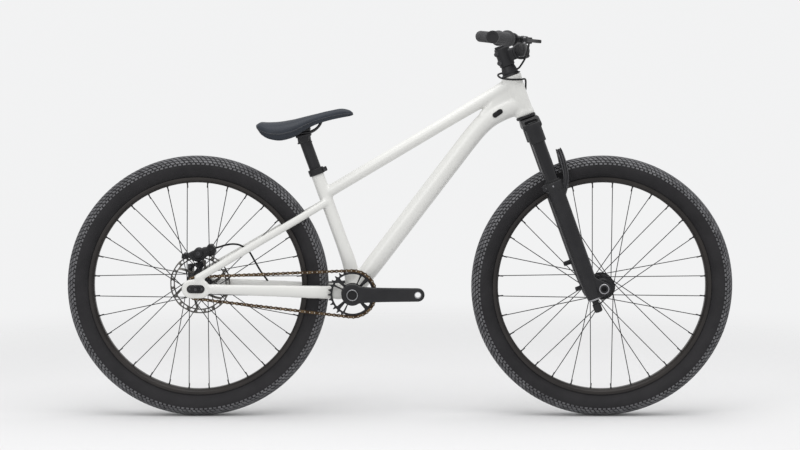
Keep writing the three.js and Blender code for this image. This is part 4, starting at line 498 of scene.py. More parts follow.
rubber = finish("rubberBlack", {
    "colour": (0.014, 0.014, 0.015), "tint": (0.022, 0.022, 0.024), "roughness": 0.72, "spread": 0.1,
    "broad": 20.0, "cells": 900.0, "bump": 0.25, "specular": 0.3,
})
gripFinish = finish("gripRubber", {
    "colour": (0.040, 0.040, 0.042), "tint": (0.060, 0.060, 0.063), "roughness": 0.6, "spread": 0.1,
    "broad": 30.0, "cells": 900.0, "bump": 0.25, "specular": 0.4,
})
hoseFinish = finish("hoseBlack", {
    "colour": (0.006, 0.006, 0.007), "tint": (0.010, 0.010, 0.011), "roughness": 0.45, "spread": 0.06,
    "broad": 40.0, "fine": 1200.0, "bump": 0.05, "specular": 0.25,
})
cover = finish("saddleSlate", {
    "colour": (0.014, 0.018, 0.026), "tint": (0.021, 0.027, 0.038), "roughness": 0.55, "spread": 0.12,
    "broad": 16.0, "cells": 1400.0, "bump": 0.35, "depth": 0.0003, "specular": 0.36,
})
seamFinish = finish("saddleThread", {
    "colour": (0.035, 0.038, 0.046), "tint": (0.055, 0.058, 0.066), "roughness": 0.6, "spread": 0.1,
    "broad": 40.0, "fine": 1800.0, "bump": 0.3,
})
steel = finish("steel", {
    "colour": (0.42, 0.42, 0.43), "tint": (0.32, 0.32, 0.34), "roughness": 0.32, "spread": 0.16,
    "broad": 30.0, "fine": 1600.0, "stretch": (1, 0.3, 1), "bump": 0.1, "metallic": 1,
})
rotorSteel = finish("rotorSteel", {
    "colour": (0.175, 0.168, 0.158), "tint": (0.105, 0.10, 0.093), "roughness": 0.30, "spread": 0.18,
    "broad": 40.0, "fine": 2200.0, "bump": 0.15, "metallic": 1,
})
bronze = finish("chainBronze", {
    "colour": (0.085, 0.054, 0.030), "tint": (0.046, 0.030, 0.019), "roughness": 0.36, "spread": 0.14,
    "broad": 60.0, "fine": 2000.0, "bump": 0.1, "metallic": 1,
})
# the inner links and rollers: the chain's bronze painted lighter, a painted highlight on the rollers
rollerBronze = finish("rollerBronze", {
    "colour": (0.200, 0.138, 0.076), "tint": (0.115, 0.078, 0.046), "roughness": 0.34, "spread": 0.12,
    "broad": 60.0, "fine": 2000.0, "bump": 0.1, "metallic": 1,
})
darkSteel = finish("darkSteel", {
    "colour": (0.100, 0.100, 0.105), "tint": (0.060, 0.060, 0.064), "roughness": 0.36, "spread": 0.12,
    "broad": 40.0, "fine": 1500.0, "bump": 0.08, "metallic": 1,
})
pinSteel = finish("pinSteel", {
    "colour": (0.48, 0.44, 0.38), "tint": (0.36, 0.33, 0.29), "roughness": 0.30, "spread": 0.1,
    "broad": 60.0, "fine": 2000.0, "bump": 0.05, "metallic": 1,
})
spokeSteel = finish("spokeSteel", {
    "colour": (0.012, 0.012, 0.013), "tint": (0.020, 0.020, 0.021), "roughness": 0.36, "spread": 0.1,
    "broad": 30.0, "fine": 1500.0, "bump": 0.03, "metallic": 0.4,
})
print("stage: finishes")

# Camera, floor and light
view = {"target": Vector((0.0, 0, 0.502)), "distance": 5.75, "elevation": radians(5), "width": 2.092}
camera = bpy.data.objects.new("camera", bpy.data.cameras.new("camera"))
bpy.context.scene.collection.objects.link(camera)
camera.data.sensor_width = 36
camera.data.lens = 36 * view["distance"] / view["width"]
away = Vector((0, -cos(view["elevation"]), sin(view["elevation"])))
camera.location = view["target"] + away * view["distance"]
camera.rotation_euler = (-away).to_track_quat("-Z", "Y").to_euler()
bpy.context.scene.camera = camera
bpy.context.scene.view_settings.view_transform = "Standard"


def makeFloor(settings):
    # a pale disc that fades into the background away from the bicycle
    steps, rings = 96, [0.02, 0.6, 1.2, 2.0, 3.0, settings["radius"]]
    corners = [(0, 0, 0)]
    faces = []
    for ring in rings:
        corners += [(ring * cos(t), ring * sin(t), 0) for t in allRound(steps)]
    for k in range(steps):
        faces.append((0, 1 + k, 1 + (k + 1) % steps))
        for i in range(len(rings) - 1):
            a, b = 1 + i * steps + k, 1 + i * steps + (k + 1) % steps
            faces.append((a, a + steps, b + steps, b))
    mesh = bpy.data.meshes.new("floor")
    mesh.from_pydata(corners, [], faces)
    floor = newObject("floor", mesh)
    material = bpy.data.materials.new("floor")
    material.use_nodes = True
    tree = material.node_tree
    shader = tree.nodes["Principled BSDF"]
    shader.inputs["Base Color"].default_value = (*settings["colour"], 1)
    shader.inputs["Roughness"].default_value = 1.0
    shader.inputs["Specular IOR Level"].default_value = 0.0
    coords = linked(tree, "ShaderNodeTexCoord")
    reach = linked(tree, "ShaderNodeVectorMath", {0: coords.outputs["Object"]}, operation="LENGTH")
    fade = linked(tree, "ShaderNodeMapRange", {0: reach.outputs["Value"], 1: settings["fadeFrom"],
        2: settings["fadeTo"], 3: 1.0, 4: 0.0}, interpolation_type="SMOOTHSTEP")
    tree.links.new(fade.outputs[0], shader.inputs["Alpha"])
    mesh.materials.append(material)


def makeWorld(settings):
    world = bpy.data.worlds.new("studio")
    bpy.context.scene.world = world
    world.use_nodes = True
    tree = world.node_tree
    tree.nodes.clear()
    seen = linked(tree, "ShaderNodeBackground", {"Color": (*settings["seen"], 1), "Strength": 1.0})
    light = linked(tree, "ShaderNodeBackground",
        {"Color": (*settings["light"], 1), "Strength": settings["strength"]})
    path = linked(tree, "ShaderNodeLightPath")
    blend = linked(tree, "ShaderNodeMixShader", {0: path.outputs["Is Camera Ray"]})
    out = linked(tree, "ShaderNodeOutputWorld")
    tree.links.new(light.outputs[0], blend.inputs[1])
    tree.links.new(seen.outputs[0], blend.inputs[2])
    tree.links.new(blend.outputs[0], out.inputs[0])


def makeLight(name, settings):
    data = bpy.data.lights.new(name, "AREA")
    data.shape = "RECTANGLE"
    data.size, data.size_y = settings["size"]
    data.energy = settings["power"]
    light = bpy.data.objects.new(name, data)
    bpy.context.scene.collection.objects.link(light)
    light.location = settings["from"]
    way = Vector(settings["to"]) - Vector(settings["from"])
    light.rotation_euler = way.to_track_quat("-Z", "Y").to_euler()


makeFloor({"radius": 4.0, "colour": (0.74, 0.74, 0.745), "fadeFrom": 1.1, "fadeTo": 2.6})
makeWorld({"seen": (0.887, 0.890, 0.894), "light": (1, 1, 1), "strength": 0.72})
makeLight("overhead", {"size": (3.4, 2.6), "power": 70, "from": (0.2, -0.5, 3.2), "to": (0, 0, 0.3)})
makeLight("side", {"size": (2.2, 1.6), "power": 26, "from": (-2.0, -3.4, 1.9), "to": (0, 0, 0.6)})
print("stage: camera, floor and light")


# The brake's hose: the free loop at the front, and the rear stretch from the caliper to the chainstay
frontHose = [
    (0.3216, -0.1472, 0.9833), (0.3244, -0.138, 0.9828), (0.3277, -0.118, 0.9755), (0.3269, -0.09, 0.9603),
    (0.3215, -0.056, 0.9371), (0.3137, -0.026, 0.9204), (0.3077, 0.005, 0.9108), (0.2936, 0.029, 0.9025),
    (0.2716, 0.027, 0.8987), (0.2553, 0.006, 0.8938), (0.2625, -0.021, 0.8858), (0.2882, -0.032, 0.8824),
    (0.3116, -0.025, 0.8824), (0.3255, 0, 0.8822), (0.3278, 0.016, 0.867), (0.327, 0.024, 0.8518),
    (0.3186, 0.031, 0.8339), (0.2997, 0.0335, 0.8185), (0.282, 0.031, 0.8088), (0.2684, 0.027, 0.8023),
    (0.261, 0.0235, 0.7991),
]
rearHose = [
    (-0.4966, 0.0535, 0.4345), (-0.48, 0.053, 0.4385), (-0.46, 0.05, 0.4445), (-0.442, 0.046, 0.4475),
    (-0.422, 0.043, 0.445), (-0.4, 0.043, 0.43), (-0.383, 0.045, 0.402), (-0.368, 0.049, 0.375),
    (-0.357, 0.0535, 0.359), (-0.351, 0.0555, 0.3505), (-0.3475, 0.0567, 0.3455),
]


def makeHose(word, points, steps, diameter=0.005):
    line = splinePoints(points, steps)
    hose = dress("brakeHose" + word, [roundTube("hose", line, diameter * 500, 16)], hoseFinish, "frame",
        ["brake_hose_" + word.lower()])


makeHose("Front", frontHose, 160)
makeHose("Rear", rearHose, 80)
print("stage: hoses")


def bezier(controls, count):
    # a Bezier curve through its first and last control
    points = []
    for k in range(count + 1):
        level = [Vector(c) for c in controls]
        t = k / count
        while len(level) > 1:
            level = [a.lerp(b, t) for a, b in zip(level, level[1:])]
        points.append(level[0])
    return points


# Frame
frameSizes = {
    "head": (488.6, 599.6), "headRadius": 26, "headWaist": 24, "headBore": 17, "cupSeat": 22, "cupDepth": 9,
    "seatTop": 342, "seatRadius": 17, "seatFoot": 20.5, "postRadius": 15.45, "boreDepth": 200,
    "topOnSeat": 272, "topOnHead": 92, "topRadius": (15.5, 18),
    "downOnHead": 34, "downBelly": 4.31, "downBend": 200.6, "downLead": 110, "downTail": 90,
    "downHalf": 24.2, "downHeadHalf": 27.6, "downWide": 22, "downFootWide": 29,
    "shell": (22.5, 36.5, 18), "stayOnSeat": 252, "seatstay": (8, 10.5, 12, 43),
    "chainstay": (8.5, 19, 13, 24, 44.5),
    "stayTip": 72.5, "dropout": (67.5, 77.5), "dropoutSize": (74, 50), "axleSlot": (28, 10.6),
    "recess": (46.8, 21.8), "recessDepth": 3.2, "tab": (52, 17, 24, 28), "tabPlace": (63.3, 72.5),
    "port": (29.5, 13), "portFromHead": 67, "portTilt": radians(5.3), "portProud": 1.5,
    "voxel": 0.0022, "smoothing": 22,
    "web": (207, 788, 796, 15), "slit": (2.4, 20),
}
seatstayShares = [(0, 0), (0.1, 0.42), (0.2, 0.84), (0.32, 1), (0.6, 1.5), (1, 2)]
chainstayShares = [(0, 0), (0.17, 0.55), (0.27, 0.97), (0.45, 1.16), (0.72, 1.65), (1, 2)]


def downTubePath(f):
    head = steer(f["head"][0] + f["downOnHead"])
    chord = head - bike["bracket"]
    angle = atan2(chord.z, chord.x) + radians(f["downBelly"])
    way = Vector((cos(angle), 0, sin(angle)))
    knee = bike["bracket"] + way * (chord.length - f["downBend"] / 1000)
    forward = headTurn @ Vector((1, 0, 0))
    lead, tail = way * f["downLead"] / 1000, forward * f["downTail"] / 1000
    bend = bezier([knee, knee + lead, head - tail, head], 60)
    straight = [bike["bracket"].lerp(knee, k / 60) for k in range(60)]
    return evenly(straight + bend, 90)


def stayPath(root, tip, side, rootOffset, bulge, stayTip, shares):
    points = []
    for along, widen in shares:
        wide = mix(rootOffset, bulge, widen) if widen < 1 else mix(bulge, stayTip, widen - 1)
        point = root.lerp(tip, along)
        point.y = side * wide / 1000
        points.append(point)
    return splinePoints(points, 60)


downTube = downTubePath(frameSizes)


def frameTubes(f):
    parts = []
    seatLine = bezier([bike["bracket"],
        seat(bike["seatOffset"] * 1000 / cos(bike["seatAngle"])), seat(100)], 20)
    seatLine = evenly(seatLine + [seat(f["seatTop"])], 40)
    sideways = Vector((0, 1, 0))
    parts.append(tube("seatTube", seatLine,
        lambda t: (mix(f["seatFoot"], f["seatRadius"], min(1, t * 2.5)),) * 2, 48, sideways))

    def downSize(t):
        flare, foot = max(0, (t - 0.8) / 0.2), max(0, 1 - t / 0.14)
        return (mix(mix(f["downHalf"], f["downHeadHalf"], flare), f["shell"][0] - 1, foot),
            mix(f["downWide"], f["downFootWide"], foot))
    parts.append(tube("downTube", downTube, downSize, 56, sideways))
    topLine = [seat(f["topOnSeat"]).lerp(steer(f["head"][0] + f["topOnHead"]), k / 40) for k in range(41)]
    parts.append(tube("topTube", topLine,
        lambda t: (mix(*f["topRadius"], max(0, t * 3 - 2)),) * 2, 48, sideways))
    # the web that fills the fork of the two tubes behind the head
    behind, low, high, half = f["web"]
    topEnd, headEnd = topLine[-1], steer(f["head"][0] + f["downOnHead"] + 22)
    lower = [p for p in downTube if p.x * 1000 > behind][:-1]
    outline = [(behind, low), (behind, high)]
    outline += [(p.x * 1000, p.z * 1000) for p in [topEnd, headEnd] + lower[::-1]]
    parts.append(plate("web", outline, -half, half))
    foot, top = f["head"]
    seatDeep = f["cupDepth"]
    parts.append(turned("headTube", [(0, foot), (f["headRadius"], foot), (f["headRadius"], foot + seatDeep),
        (f["headWaist"], foot + 2 * seatDeep), (f["headWaist"], top - 2 * seatDeep),
        (f["headRadius"], top - seatDeep), (f["headRadius"], top), (0, top)], onFork))
    radius, half, _ = f["shell"]
    parts.append(turned("shell", rod(radius, -half, half), onCrank @ alongY))
    return parts


def frameStays(f):
    parts = []
    axle = bike["rearAxle"]
    length, height = f["dropoutSize"]
    for side in (-1, 1):
        wide, high, root, bulge = f["seatstay"]
        line = stayPath(seat(f["stayOnSeat"]), axle + mm(0, 0, height / 2), side, root, bulge,
            f["stayTip"], seatstayShares)
        parts.append(tube("seatstay", line, lambda t: (wide, high), 32))
        wideC, rootHigh, tipHigh, rootC, bulgeC = f["chainstay"]
        line = stayPath(bike["bracket"].copy(), axle + mm(length / 2, 0, 0), side, rootC, bulgeC,
            f["stayTip"], chainstayShares)
        parts.append(tube("chainstay", line, lambda t: (wideC, mix(rootHigh, tipHigh, t)), 36))
        inner, outer = f["dropout"]
        parts.append(plate("dropout", slot(length, height, steps=16), side * inner,
            side * outer, place=onRear))
    tall, wide, back, rise = f["tab"]
    parts.append(plate("discTab", slot(tall, wide, -back, rise, pi / 2), *f["tabPlace"], place=onRear))
    return parts


def frameBores(f):
    foot, top = f["head"]
    deep, cup, bore = f["cupDepth"], f["cupSeat"], f["headBore"]
    cuts = [turned("headBore", [(0, foot - past), (cup, foot - past), (cup, foot + deep),
        (bore, foot + deep), (bore, top - deep), (cup, top - deep), (cup, top + past),
        (0, top + past)], onFork)]
    post = f["postRadius"] + 0.3
    cuts.append(turned("seatBore",
        [(0, f["seatTop"] - f["boreDepth"]), (post, f["seatTop"] - f["boreDepth"]),
        (post, f["seatTop"] + past), (0, f["seatTop"] + past)], onSeat))
    wide, deep = f["slit"]
    cuts.append(block("seatSlit", (5, -wide / 2, f["seatTop"] - deep),
        (30, wide / 2, f["seatTop"] + past), onSeat, 0))
    keyAt = onSeat @ shift(0, 0, f["seatTop"] - deep) @ faceAhead
    cuts.append(turned("keyHole", rod(wide, 5, 30), keyAt, 20))
    cuts.append(turned("shellBore", rod(f["shell"][2], -60, 60), onCrank @ alongY))
    inner, outer = f["dropout"]
    for side in (-1, 1):
        cuts.append(plate("axleSlot", slot(*f["axleSlot"], steps=12), side * (inner - past),
            side * (outer + past), place=onRear))
        cuts.append(plate("recess", slot(*f["recess"], steps=12), side * (outer - f["recessDepth"]),
            side * (outer + past), place=onRear))
        cuts.append(portPlate("portSeat", f, side, 0.5, 5.0, 8.0))
    return cuts


def portPlate(name, f, side, extra, depth, proud, edge=0.0):
    lengths = [(b - a).length for a, b in zip(downTube, downTube[1:])]
    left, i = f["portFromHead"] / 1000, len(lengths) - 1
    while left > lengths[i]:
        left -= lengths[i]
        i -= 1
    at = downTube[i + 1].lerp(downTube[i], left / lengths[i])
    along = (downTube[i + 1] - downTube[i]).normalized()
    turn = atan2(along.z, along.x) + f["portTilt"]
    shape = slot(f["port"][0] + extra, f["port"][1] + extra, turn=turn, steps=12)
    skin = side * f["downWide"]
    return plate(name, shape, skin - side * depth, skin + side * proud,
        place=Matrix.Translation(Vector((at.x, 0, at.z))), edge=edge)


def makeFrame(f):
    mesh = blended("frame", frameTubes(f) + frameStays(f), f["voxel"], f["smoothing"], frameBores(f))
    dress("frameShell", mesh, paint, "frame", ["frame"], sharpAngle=38)
    for word, side in bothSides:
        port = portPlate("port" + word, f, side, 0, 4.5, f["portProud"], 0.6)
        dress("cablePort" + word, port, hoseFinish, "frame", ["cable_port_" + word.lower()])


makeFrame(frameSizes)
print("stage: frame")


# Geometry Nodes: one base mesh repeated, then joined and given its material.
def nodeGroup(name, inputs):
    group = bpy.data.node_groups.new(name, "GeometryNodeTree")
    group.interface.new_socket("Geometry", in_out="INPUT", socket_type="NodeSocketGeometry")
    for label, kind in inputs:
        group.interface.new_socket(label, in_out="INPUT", socket_type="NodeSocket" + kind)
    group.interface.new_socket("Geometry", in_out="OUTPUT", socket_type="NodeSocketGeometry")
    return group, linked(group, "NodeGroupInput"), linked(group, "NodeGroupOutput")


def endWith(group, start, end, instances):
    joined = linked(group, "GeometryNodeRealizeInstances", {0: instances})
    finished = linked(group, "GeometryNodeSetMaterial",
        {"Geometry": joined.outputs[0], "Material": start.outputs["Material"]})
    group.links.new(finished.outputs[0], end.inputs[0])


def makeAround():
    # copies of the base mesh turned about the Y axis
    group, start, end = nodeGroup("aroundAxle", [("Count", "Int"), ("Phase", "Float"),
        ("Material", "Material")])
    points = linked(group, "GeometryNodePoints", {"Count": start.outputs["Count"]})
    number = linked(group, "GeometryNodeInputIndex")
    step = linked(group, "ShaderNodeMath", {0: 2 * pi, 1: start.outputs["Count"]}, operation="DIVIDE")
    turn = linked(group, "ShaderNodeMath", {0: number.outputs[0], 1: step.outputs[0],
        2: start.outputs["Phase"]}, operation="MULTIPLY_ADD")
    spin = linked(group, "ShaderNodeCombineXYZ", {"Y": turn.outputs[0]})
    copies = linked(group, "GeometryNodeInstanceOnPoints", {
        "Points": points.outputs[0], "Instance": start.outputs["Geometry"], "Rotation": spin.outputs[0]})
    endWith(group, start, end, copies.outputs[0])
    return group


def makeAlong():
    # copies of the base mesh in a straight row
    group, start, end = nodeGroup("inRow", [("Count", "Int"), ("Step", "Vector"), ("Material", "Material")])
    row = linked(group, "GeometryNodeMeshLine",
        {"Count": start.outputs["Count"], "Offset": start.outputs["Step"]})
    copies = linked(group, "GeometryNodeInstanceOnPoints", {
        "Points": row.outputs[0], "Instance": start.outputs["Geometry"]})
    endWith(group, start, end, copies.outputs[0])
    return group


def makeFollow():
    # copies of an object on every second point of a path that carries its own turn
    group, start, end = nodeGroup("onLinks", [("Link", "Object"), ("Odd", "Int"), ("Material", "Material")])
    number = linked(group, "GeometryNodeInputIndex")
    parity = linked(group, "ShaderNodeMath", {0: number.outputs[0], 1: 2.0}, operation="MODULO")
    chosen = linked(group, "FunctionNodeCompare", {"A": parity.outputs[0], "B": start.outputs["Odd"],
        "Epsilon": 0.1}, data_type="FLOAT", operation="EQUAL")
    turn = linked(group, "GeometryNodeInputNamedAttribute", {"Name": "turn"}, data_type="FLOAT")
    spin = linked(group, "ShaderNodeCombineXYZ", {"Y": turn.outputs[0]})
    link = linked(group, "GeometryNodeObjectInfo", {"Object": start.outputs["Link"]})
    copies = linked(group, "GeometryNodeInstanceOnPoints", {
        "Points": start.outputs["Geometry"], "Instance": link.outputs["Geometry"],
        "Selection": chosen.outputs[0], "Rotation": spin.outputs[0]})
    endWith(group, start, end, copies.outputs[0])
    return group


aroundAxle, inRow, onLinks = makeAround(), makeAlong(), makeFollow()


def repeated(name, base, group, settings, place=None, sharpAngle=32):
    # a plain mesh of the node group's result
    source = newObject(name, base)
    nodes = source.modifiers.new("repeat", "NODES")
    nodes.node_group = group
    for item in group.interface.items_tree:
        if item.in_out == "INPUT" and item.name in settings:
            nodes[item.identifier] = settings[item.name]
    source.update_tag()
    mesh = frozen(source)
    bpy.data.objects.remove(source)
    if place:
        mesh.transform(place)
    shade(mesh, sharpAngle)
    return mesh


def around(name, base, count, material, place=None, phase=0.0, sharpAngle=32):
    return repeated(name, base, aroundAxle,
        {"Count": count, "Phase": phase, "Material": material}, place, sharpAngle)


# Tyres
tyreSizes = {
    "half": [(279.6, 12.6), (283.0, 12.4), (287.0, 13.2), (291.5, 17.5), (298, 23.0), (306, 27.3),
             (314, 29.2), (321, 28.6), (328, 25.4), (333.5, 20.4), (337.4, 14.0), (339.3, 7.0), (339.8, 0)],
    "steps": 128, "pitches": 84,
    "knobs": [
        # place across the tread in mm, place along it and size as shares of the pitch, width, height, skew
        (0.0, 0.00, 0.34, 5.6, 2.2, 0.0), (0.0, 0.50, 0.34, 5.6, 2.2, 0.0),
        (7.6, 0.25, 0.34, 5.2, 2.2, 0.10), (7.6, 0.75, 0.34, 5.2, 2.2, 0.10),
        (15.0, 0.02, 0.34, 5.2, 2.3, 0.12), (15.0, 0.52, 0.34, 5.2, 2.3, 0.12),
        (22.4, 0.28, 0.35, 5.4, 2.3, 0.12), (22.4, 0.78, 0.35, 5.4, 2.3, 0.12),
        (29.8, 0.04, 0.36, 5.2, 2.2, 0.08), (29.8, 0.54, 0.36, 5.2, 2.2, 0.08),
        (36.2, 0.30, 0.30, 4.2, 1.5, 0.0), (36.2, 0.80, 0.30, 4.2, 1.5, 0.0),
    ],
}


def tyreSection(half):
    line = splinePoints([Vector((r, y, 0)) for r, y in half], 40)
    return [(p.x, p.y) for p in line]


def tyreBody(name, t):
    outer = tyreSection(t["half"])
    inner = [(r - 2.2, max(y - 2.4, 0)) for r, y in outer[4:]]
    inner[0] = (outer[0][0], outer[0][1] - 2.6)
    left = inner[::-1] + outer
    left = [(r, y) for r, y in left if y > 0.001]
    profile = [(inner[-1][0], 0)] + left + [(outer[-1][0], 0)] + [(r, -y) for r, y in reversed(left)]
    return turned(name, profile, alongY, t["steps"])


def treadPitch(name, t):
    # the knobs of one pitch, laid on the curved section of the casing
    section = tyreSection(t["half"])[::-1]
    reach = [0.0]
    for a, b in zip(section, section[1:]):
        reach.append(reach[-1] + dist(a, b))
    pitch = 2 * pi / t["pitches"]

    def spot(across, along, height):
        way = 1 if across >= 0 else -1
        want = abs(across)
        i = min(max(k for k in range(len(reach)) if reach[k] <= want), len(reach) - 2)
        share = (want - reach[i]) / (reach[i + 1] - reach[i])
        (r0, y0), (r1, y1) = section[i], section[i + 1]
        length = hypot(r1 - r0, y1 - y0)
        radius = mix(r0, r1, share) + height * (y1 - y0) / length
        y = way * (mix(y0, y1, share) - height * (r1 - r0) / length)
        return mm(radius * cos(along * pitch), y, radius * sin(along * pitch))

    corners, faces = [], []
    for across, along, size, width, height, skew in t["knobs"]:
        for side in ((1, -1) if across else (1,)):
            first = len(corners)
            for level, grow in ((-0.6, 1.08), (height * 0.82, 1.0), (height, 0.84)):
                for u, v in ((-1, -1), (1, -1), (1, 1), (-1, 1)):
                    lean = skew * side * v * (across > 0)
                    out = v * width / 2 * grow
                    corners.append(spot(side * (across + out) if across else out,
                        along + u * size / 2 * grow + lean, level))
            for ring in (0, 4):
                for k in range(4):
                    a, b = first + ring + k, first + ring + (k + 1) % 4
                    faces.append((a, b, b + 4, a + 4))
            faces.append((first, first + 3, first + 2, first + 1))
            faces.append((first + 8, first + 9, first + 10, first + 11))
    return meshFrom(name, corners, faces, None, 25)


def makeTyre(word, body, at):
    # the knobs take the lighter rubber, a painted highlight on their faces
    tread = around("tread", treadPitch("treadPitch", tyreSizes), tyreSizes["pitches"],
        treadPaintedHighlight, at, 0.0, 25)
    casing = tyreBody("casing", tyreSizes)
    casing.transform(at)
    dress(word + "Tyre", [casing], tyreFinish, body, [word + "_tyre"], sharpAngle=25)
    dress(word + "Tread", [tread], treadPaintedHighlight, body, [word + "_tyre"], sharpAngle=25)


# Rims, spokes, nipples and hubs
wheelSizes = {
    "rim": [(272, -8.5), (278.5, -16), (286, -16), (286, -13), (284.6, -12.3), (283.6, -13), (279.2, -13),
            (279.2, -9), (276.3, -7.5), (276.3, 7.5), (279.2, 9), (279.2, 13), (283.6, 13), (284.6, 12.3),
            (286, 13), (286, 16), (278.5, 16), (272, 8.5)],
    "spokes": 32, "crossings": 3, "spokeRadius": 1.15, "patternTurn": radians(-28.125), "hole": 28.5,
    "headLift": 0.9, "elbow": 2.2, "inNipple": 2, "rimReach": 271.6, "rimOffset": 1.1,
    "spokeHead": [(0, -0.6), (1.7, -0.6), (1.7, 0.2), (0.9, 0.8), (0, 0.8)],
    "nipple": [(0, -13), (1.5, -12.4), (1.75, -11), (1.75, -2.5), (2.6, -1), (2.6, 1.5), (0, 1.5)],
    "flange": 33, "flangeThick": 4, "waist": 17, "end": 20, "bearing": 15, "bearingWidth": 7, "lip": 2,
}


def pointed(way):
    # turns a piece made along Z to point the given way
    return Vector((0, 0, 1)).rotation_difference(way).to_matrix().to_4x4()


def onCircle(radius, turn, y):
    return mm(radius * cos(turn), y, radius * sin(turn))


def spokePattern(w):
    # the four spokes of one turn of the pattern: which flange, which way it leaves it, and its two angles
    holeStep = 4 * pi / w["spokes"]
    rimTurn = w["crossings"] * 4 * pi / w["spokes"]
    for which in (0, 1):
        for hole, way in ((0, -1), (1, 1)):
            angle = hole * holeStep + which * holeStep / 2
            yield which, way, angle, angle + way * rimTurn


def spokeSet(name, w, flanges):
    parts = []
    half = w["flangeThick"] / 2
    for which, way, angle, rimAngle in spokePattern(w):
        start = onCircle(w["hole"], angle, flanges[which] + way * (half + w["spokeRadius"]))
        through = onCircle(w["hole"], angle, flanges[which] - way * (half + w["headLift"]))
        rim = onCircle(w["rimReach"], rimAngle, way * w["rimOffset"])
        along = (rim - start).normalized()
        elbow = bezier([through, start, start + along * (w["elbow"] / 1000)], 6)
        parts.append(roundTube("spoke",
            elbow + [rim - along * (w["inNipple"] / 1000)], w["spokeRadius"], 8))
        turn = pointed((through - start).normalized())
        parts.append(turned("spokeHead", w["spokeHead"], Matrix.Translation(through) @ turn, 12))
    return joinMeshes(name, parts)


def nippleSet(name, w):
    parts = []
    for _, way, _, rimAngle in spokePattern(w):
        out = Vector((cos(rimAngle), 0, sin(rimAngle)))
        spot = out * (w["rimReach"] / 1000) + mm(0, way * w["rimOffset"], 0)
        parts.append(turned("nipple", w["nipple"], Matrix.Translation(spot) @ pointed(out), 10))
    return joinMeshes(name, parts)


def hubShell(name, w, rightEnd, leftEnd, rightFlange, leftFlange, bore, leftSeat):
    half = w["flangeThick"] / 2
    pocket = w["bearingWidth"] + 0.3
    seatR = w["bearing"] + 0.3
    profile = [
        (bore, rightEnd + pocket), (seatR, rightEnd + pocket), (seatR, rightEnd), (w["end"], rightEnd),
        (w["end"], rightFlange - half - 3), (w["end"] + 4, rightFlange - half),
        (w["flange"], rightFlange - half),
        (w["flange"], rightFlange + half), (w["waist"] + 6, rightFlange + half + 1),
        (w["waist"], rightFlange + 9),
        (w["waist"], leftFlange - 9), (w["waist"] + 6, leftFlange - half - 1),
        (w["flange"], leftFlange - half),
        (w["flange"], leftFlange + half), (w["end"] + 4, leftFlange + half),
        (w["end"], leftFlange + half + 3),
        (w["end"], leftSeat), (w["bearing"] + w["lip"], leftSeat), (w["bearing"] + w["lip"], leftEnd),
        (seatR, leftEnd), (seatR, leftEnd - pocket), (bore, leftEnd - pocket),
    ]
    return turned(name, rounded(profile, 0.9), alongY, 56)


def bearingBody(name, w, inner, start):
    # outer race, shield set back, and inner race
    outer, wide = w["bearing"], w["bearingWidth"]
    profile = [(inner, start), (inner + 2, start), (inner + 2, start + 0.7), (outer - 2, start + 0.7),
        (outer - 2, start), (outer, start), (outer, start + wide), (outer - 2, start + wide),
        (outer - 2, start + wide - 0.7), (inner + 2, start + wide - 0.7), (inner + 2, start + wide),
        (inner, start + wide)]
    return turned(name, rounded(profile, 0.3), alongY, 40)


def makeWheel(word, body, at, hub):
    w = wheelSizes
    rim = turned("rim", rounded(w["rim"], 0.8), at @ alongY, 128)
    nipples = around("nipples", nippleSet("nippleSet", w), w["spokes"] // 4,
        spokeSteel, at, w["patternTurn"])
    dress(word + "Rim", [rim], rimFinish, body, [word + "_rim"])
    dress(word + "Nipples", [nipples], spokeSteel, body)
    spokes = around("spokes", spokeSet("spokeSet", w, hub["flanges"]), w["spokes"] // 4,
        spokeSteel, at, w["patternTurn"])
    shell = hubShell("hub", w, *hub["ends"], *hub["flanges"], hub["bore"], hub["leftSeat"])
    shell.transform(at)
    dress(word + "Hub", [shell], satin, body, [word + "_hub"])
    dress(word + "Spokes", [spokes], spokeSteel, body)
    for side, start in (("Right", hub["ends"][0]), ("Left", hub["ends"][1] - w["bearingWidth"])):
        bearing = bearingBody("bearing", w, hub["bore"], start)
        bearing.transform(at)
        dress(word + "Bearing" + side, [bearing], steel, body, [word + "_bearing_" + side.lower()])


makeTyre("front", "front_wheel", onFront)
makeTyre("rear", "rear_wheel", onRear)
makeWheel("front", "front_wheel", onFront, {"ends": (-37.5, 37.5), "flanges": (-28, 28),
    "bore": 9.95, "leftSeat": 35.5})
makeWheel("rear", "rear_wheel", onRear, {"ends": (-33.7, 56.5), "flanges": (-22, 34),
    "bore": 5.4, "leftSeat": 52.2})
print("stage: wheels")


# Drive: chain, chainring, cog, cranks and the cups of the bracket
driveSizes = {
    "pitch": 12.7, "links": 86, "ringTeeth": 30, "cogTeeth": 14, "line": -49, "roller": 3.88, "play": 0.12,
    "plateHeight": 8.4, "plateThick": 1.0, "innerWidth": 3.4, "tooth": (2.4, 3.7, 1.9),
    "hub": 29, "hubBore": 16.4, "rimWidth": 4.6, "arms": 4, "armWidth": 11, "thinWidth": 5,
    "thinTurn": radians(20),
    "driver": 15.5, "driverEnds": (-62, -34), "driverBore": 5.5,
}


def driveLayout(d):
    ringR = d["pitch"] / 2 / sin(pi / d["ringTeeth"])
    cogR = d["pitch"] / 2 / sin(pi / d["cogTeeth"])
    centre = (d["links"] - (d["ringTeeth"] + d["cogTeeth"]) / 2) * d["pitch"] / 2
    for _ in range(12):
        lean = asin((ringR - cogR) / centre)
        wrapped = (d["ringTeeth"] * (pi + 2 * lean) + d["cogTeeth"] * (pi - 2 * lean)) / (2 * pi)
        straight = (d["links"] - wrapped) * d["pitch"] / 2
        centre = hypot(straight, ringR - cogR)
    return {"ringR": ringR, "cogR": cogR, "lean": lean, "straight": straight / d["pitch"]}


drive = driveLayout(driveSizes)


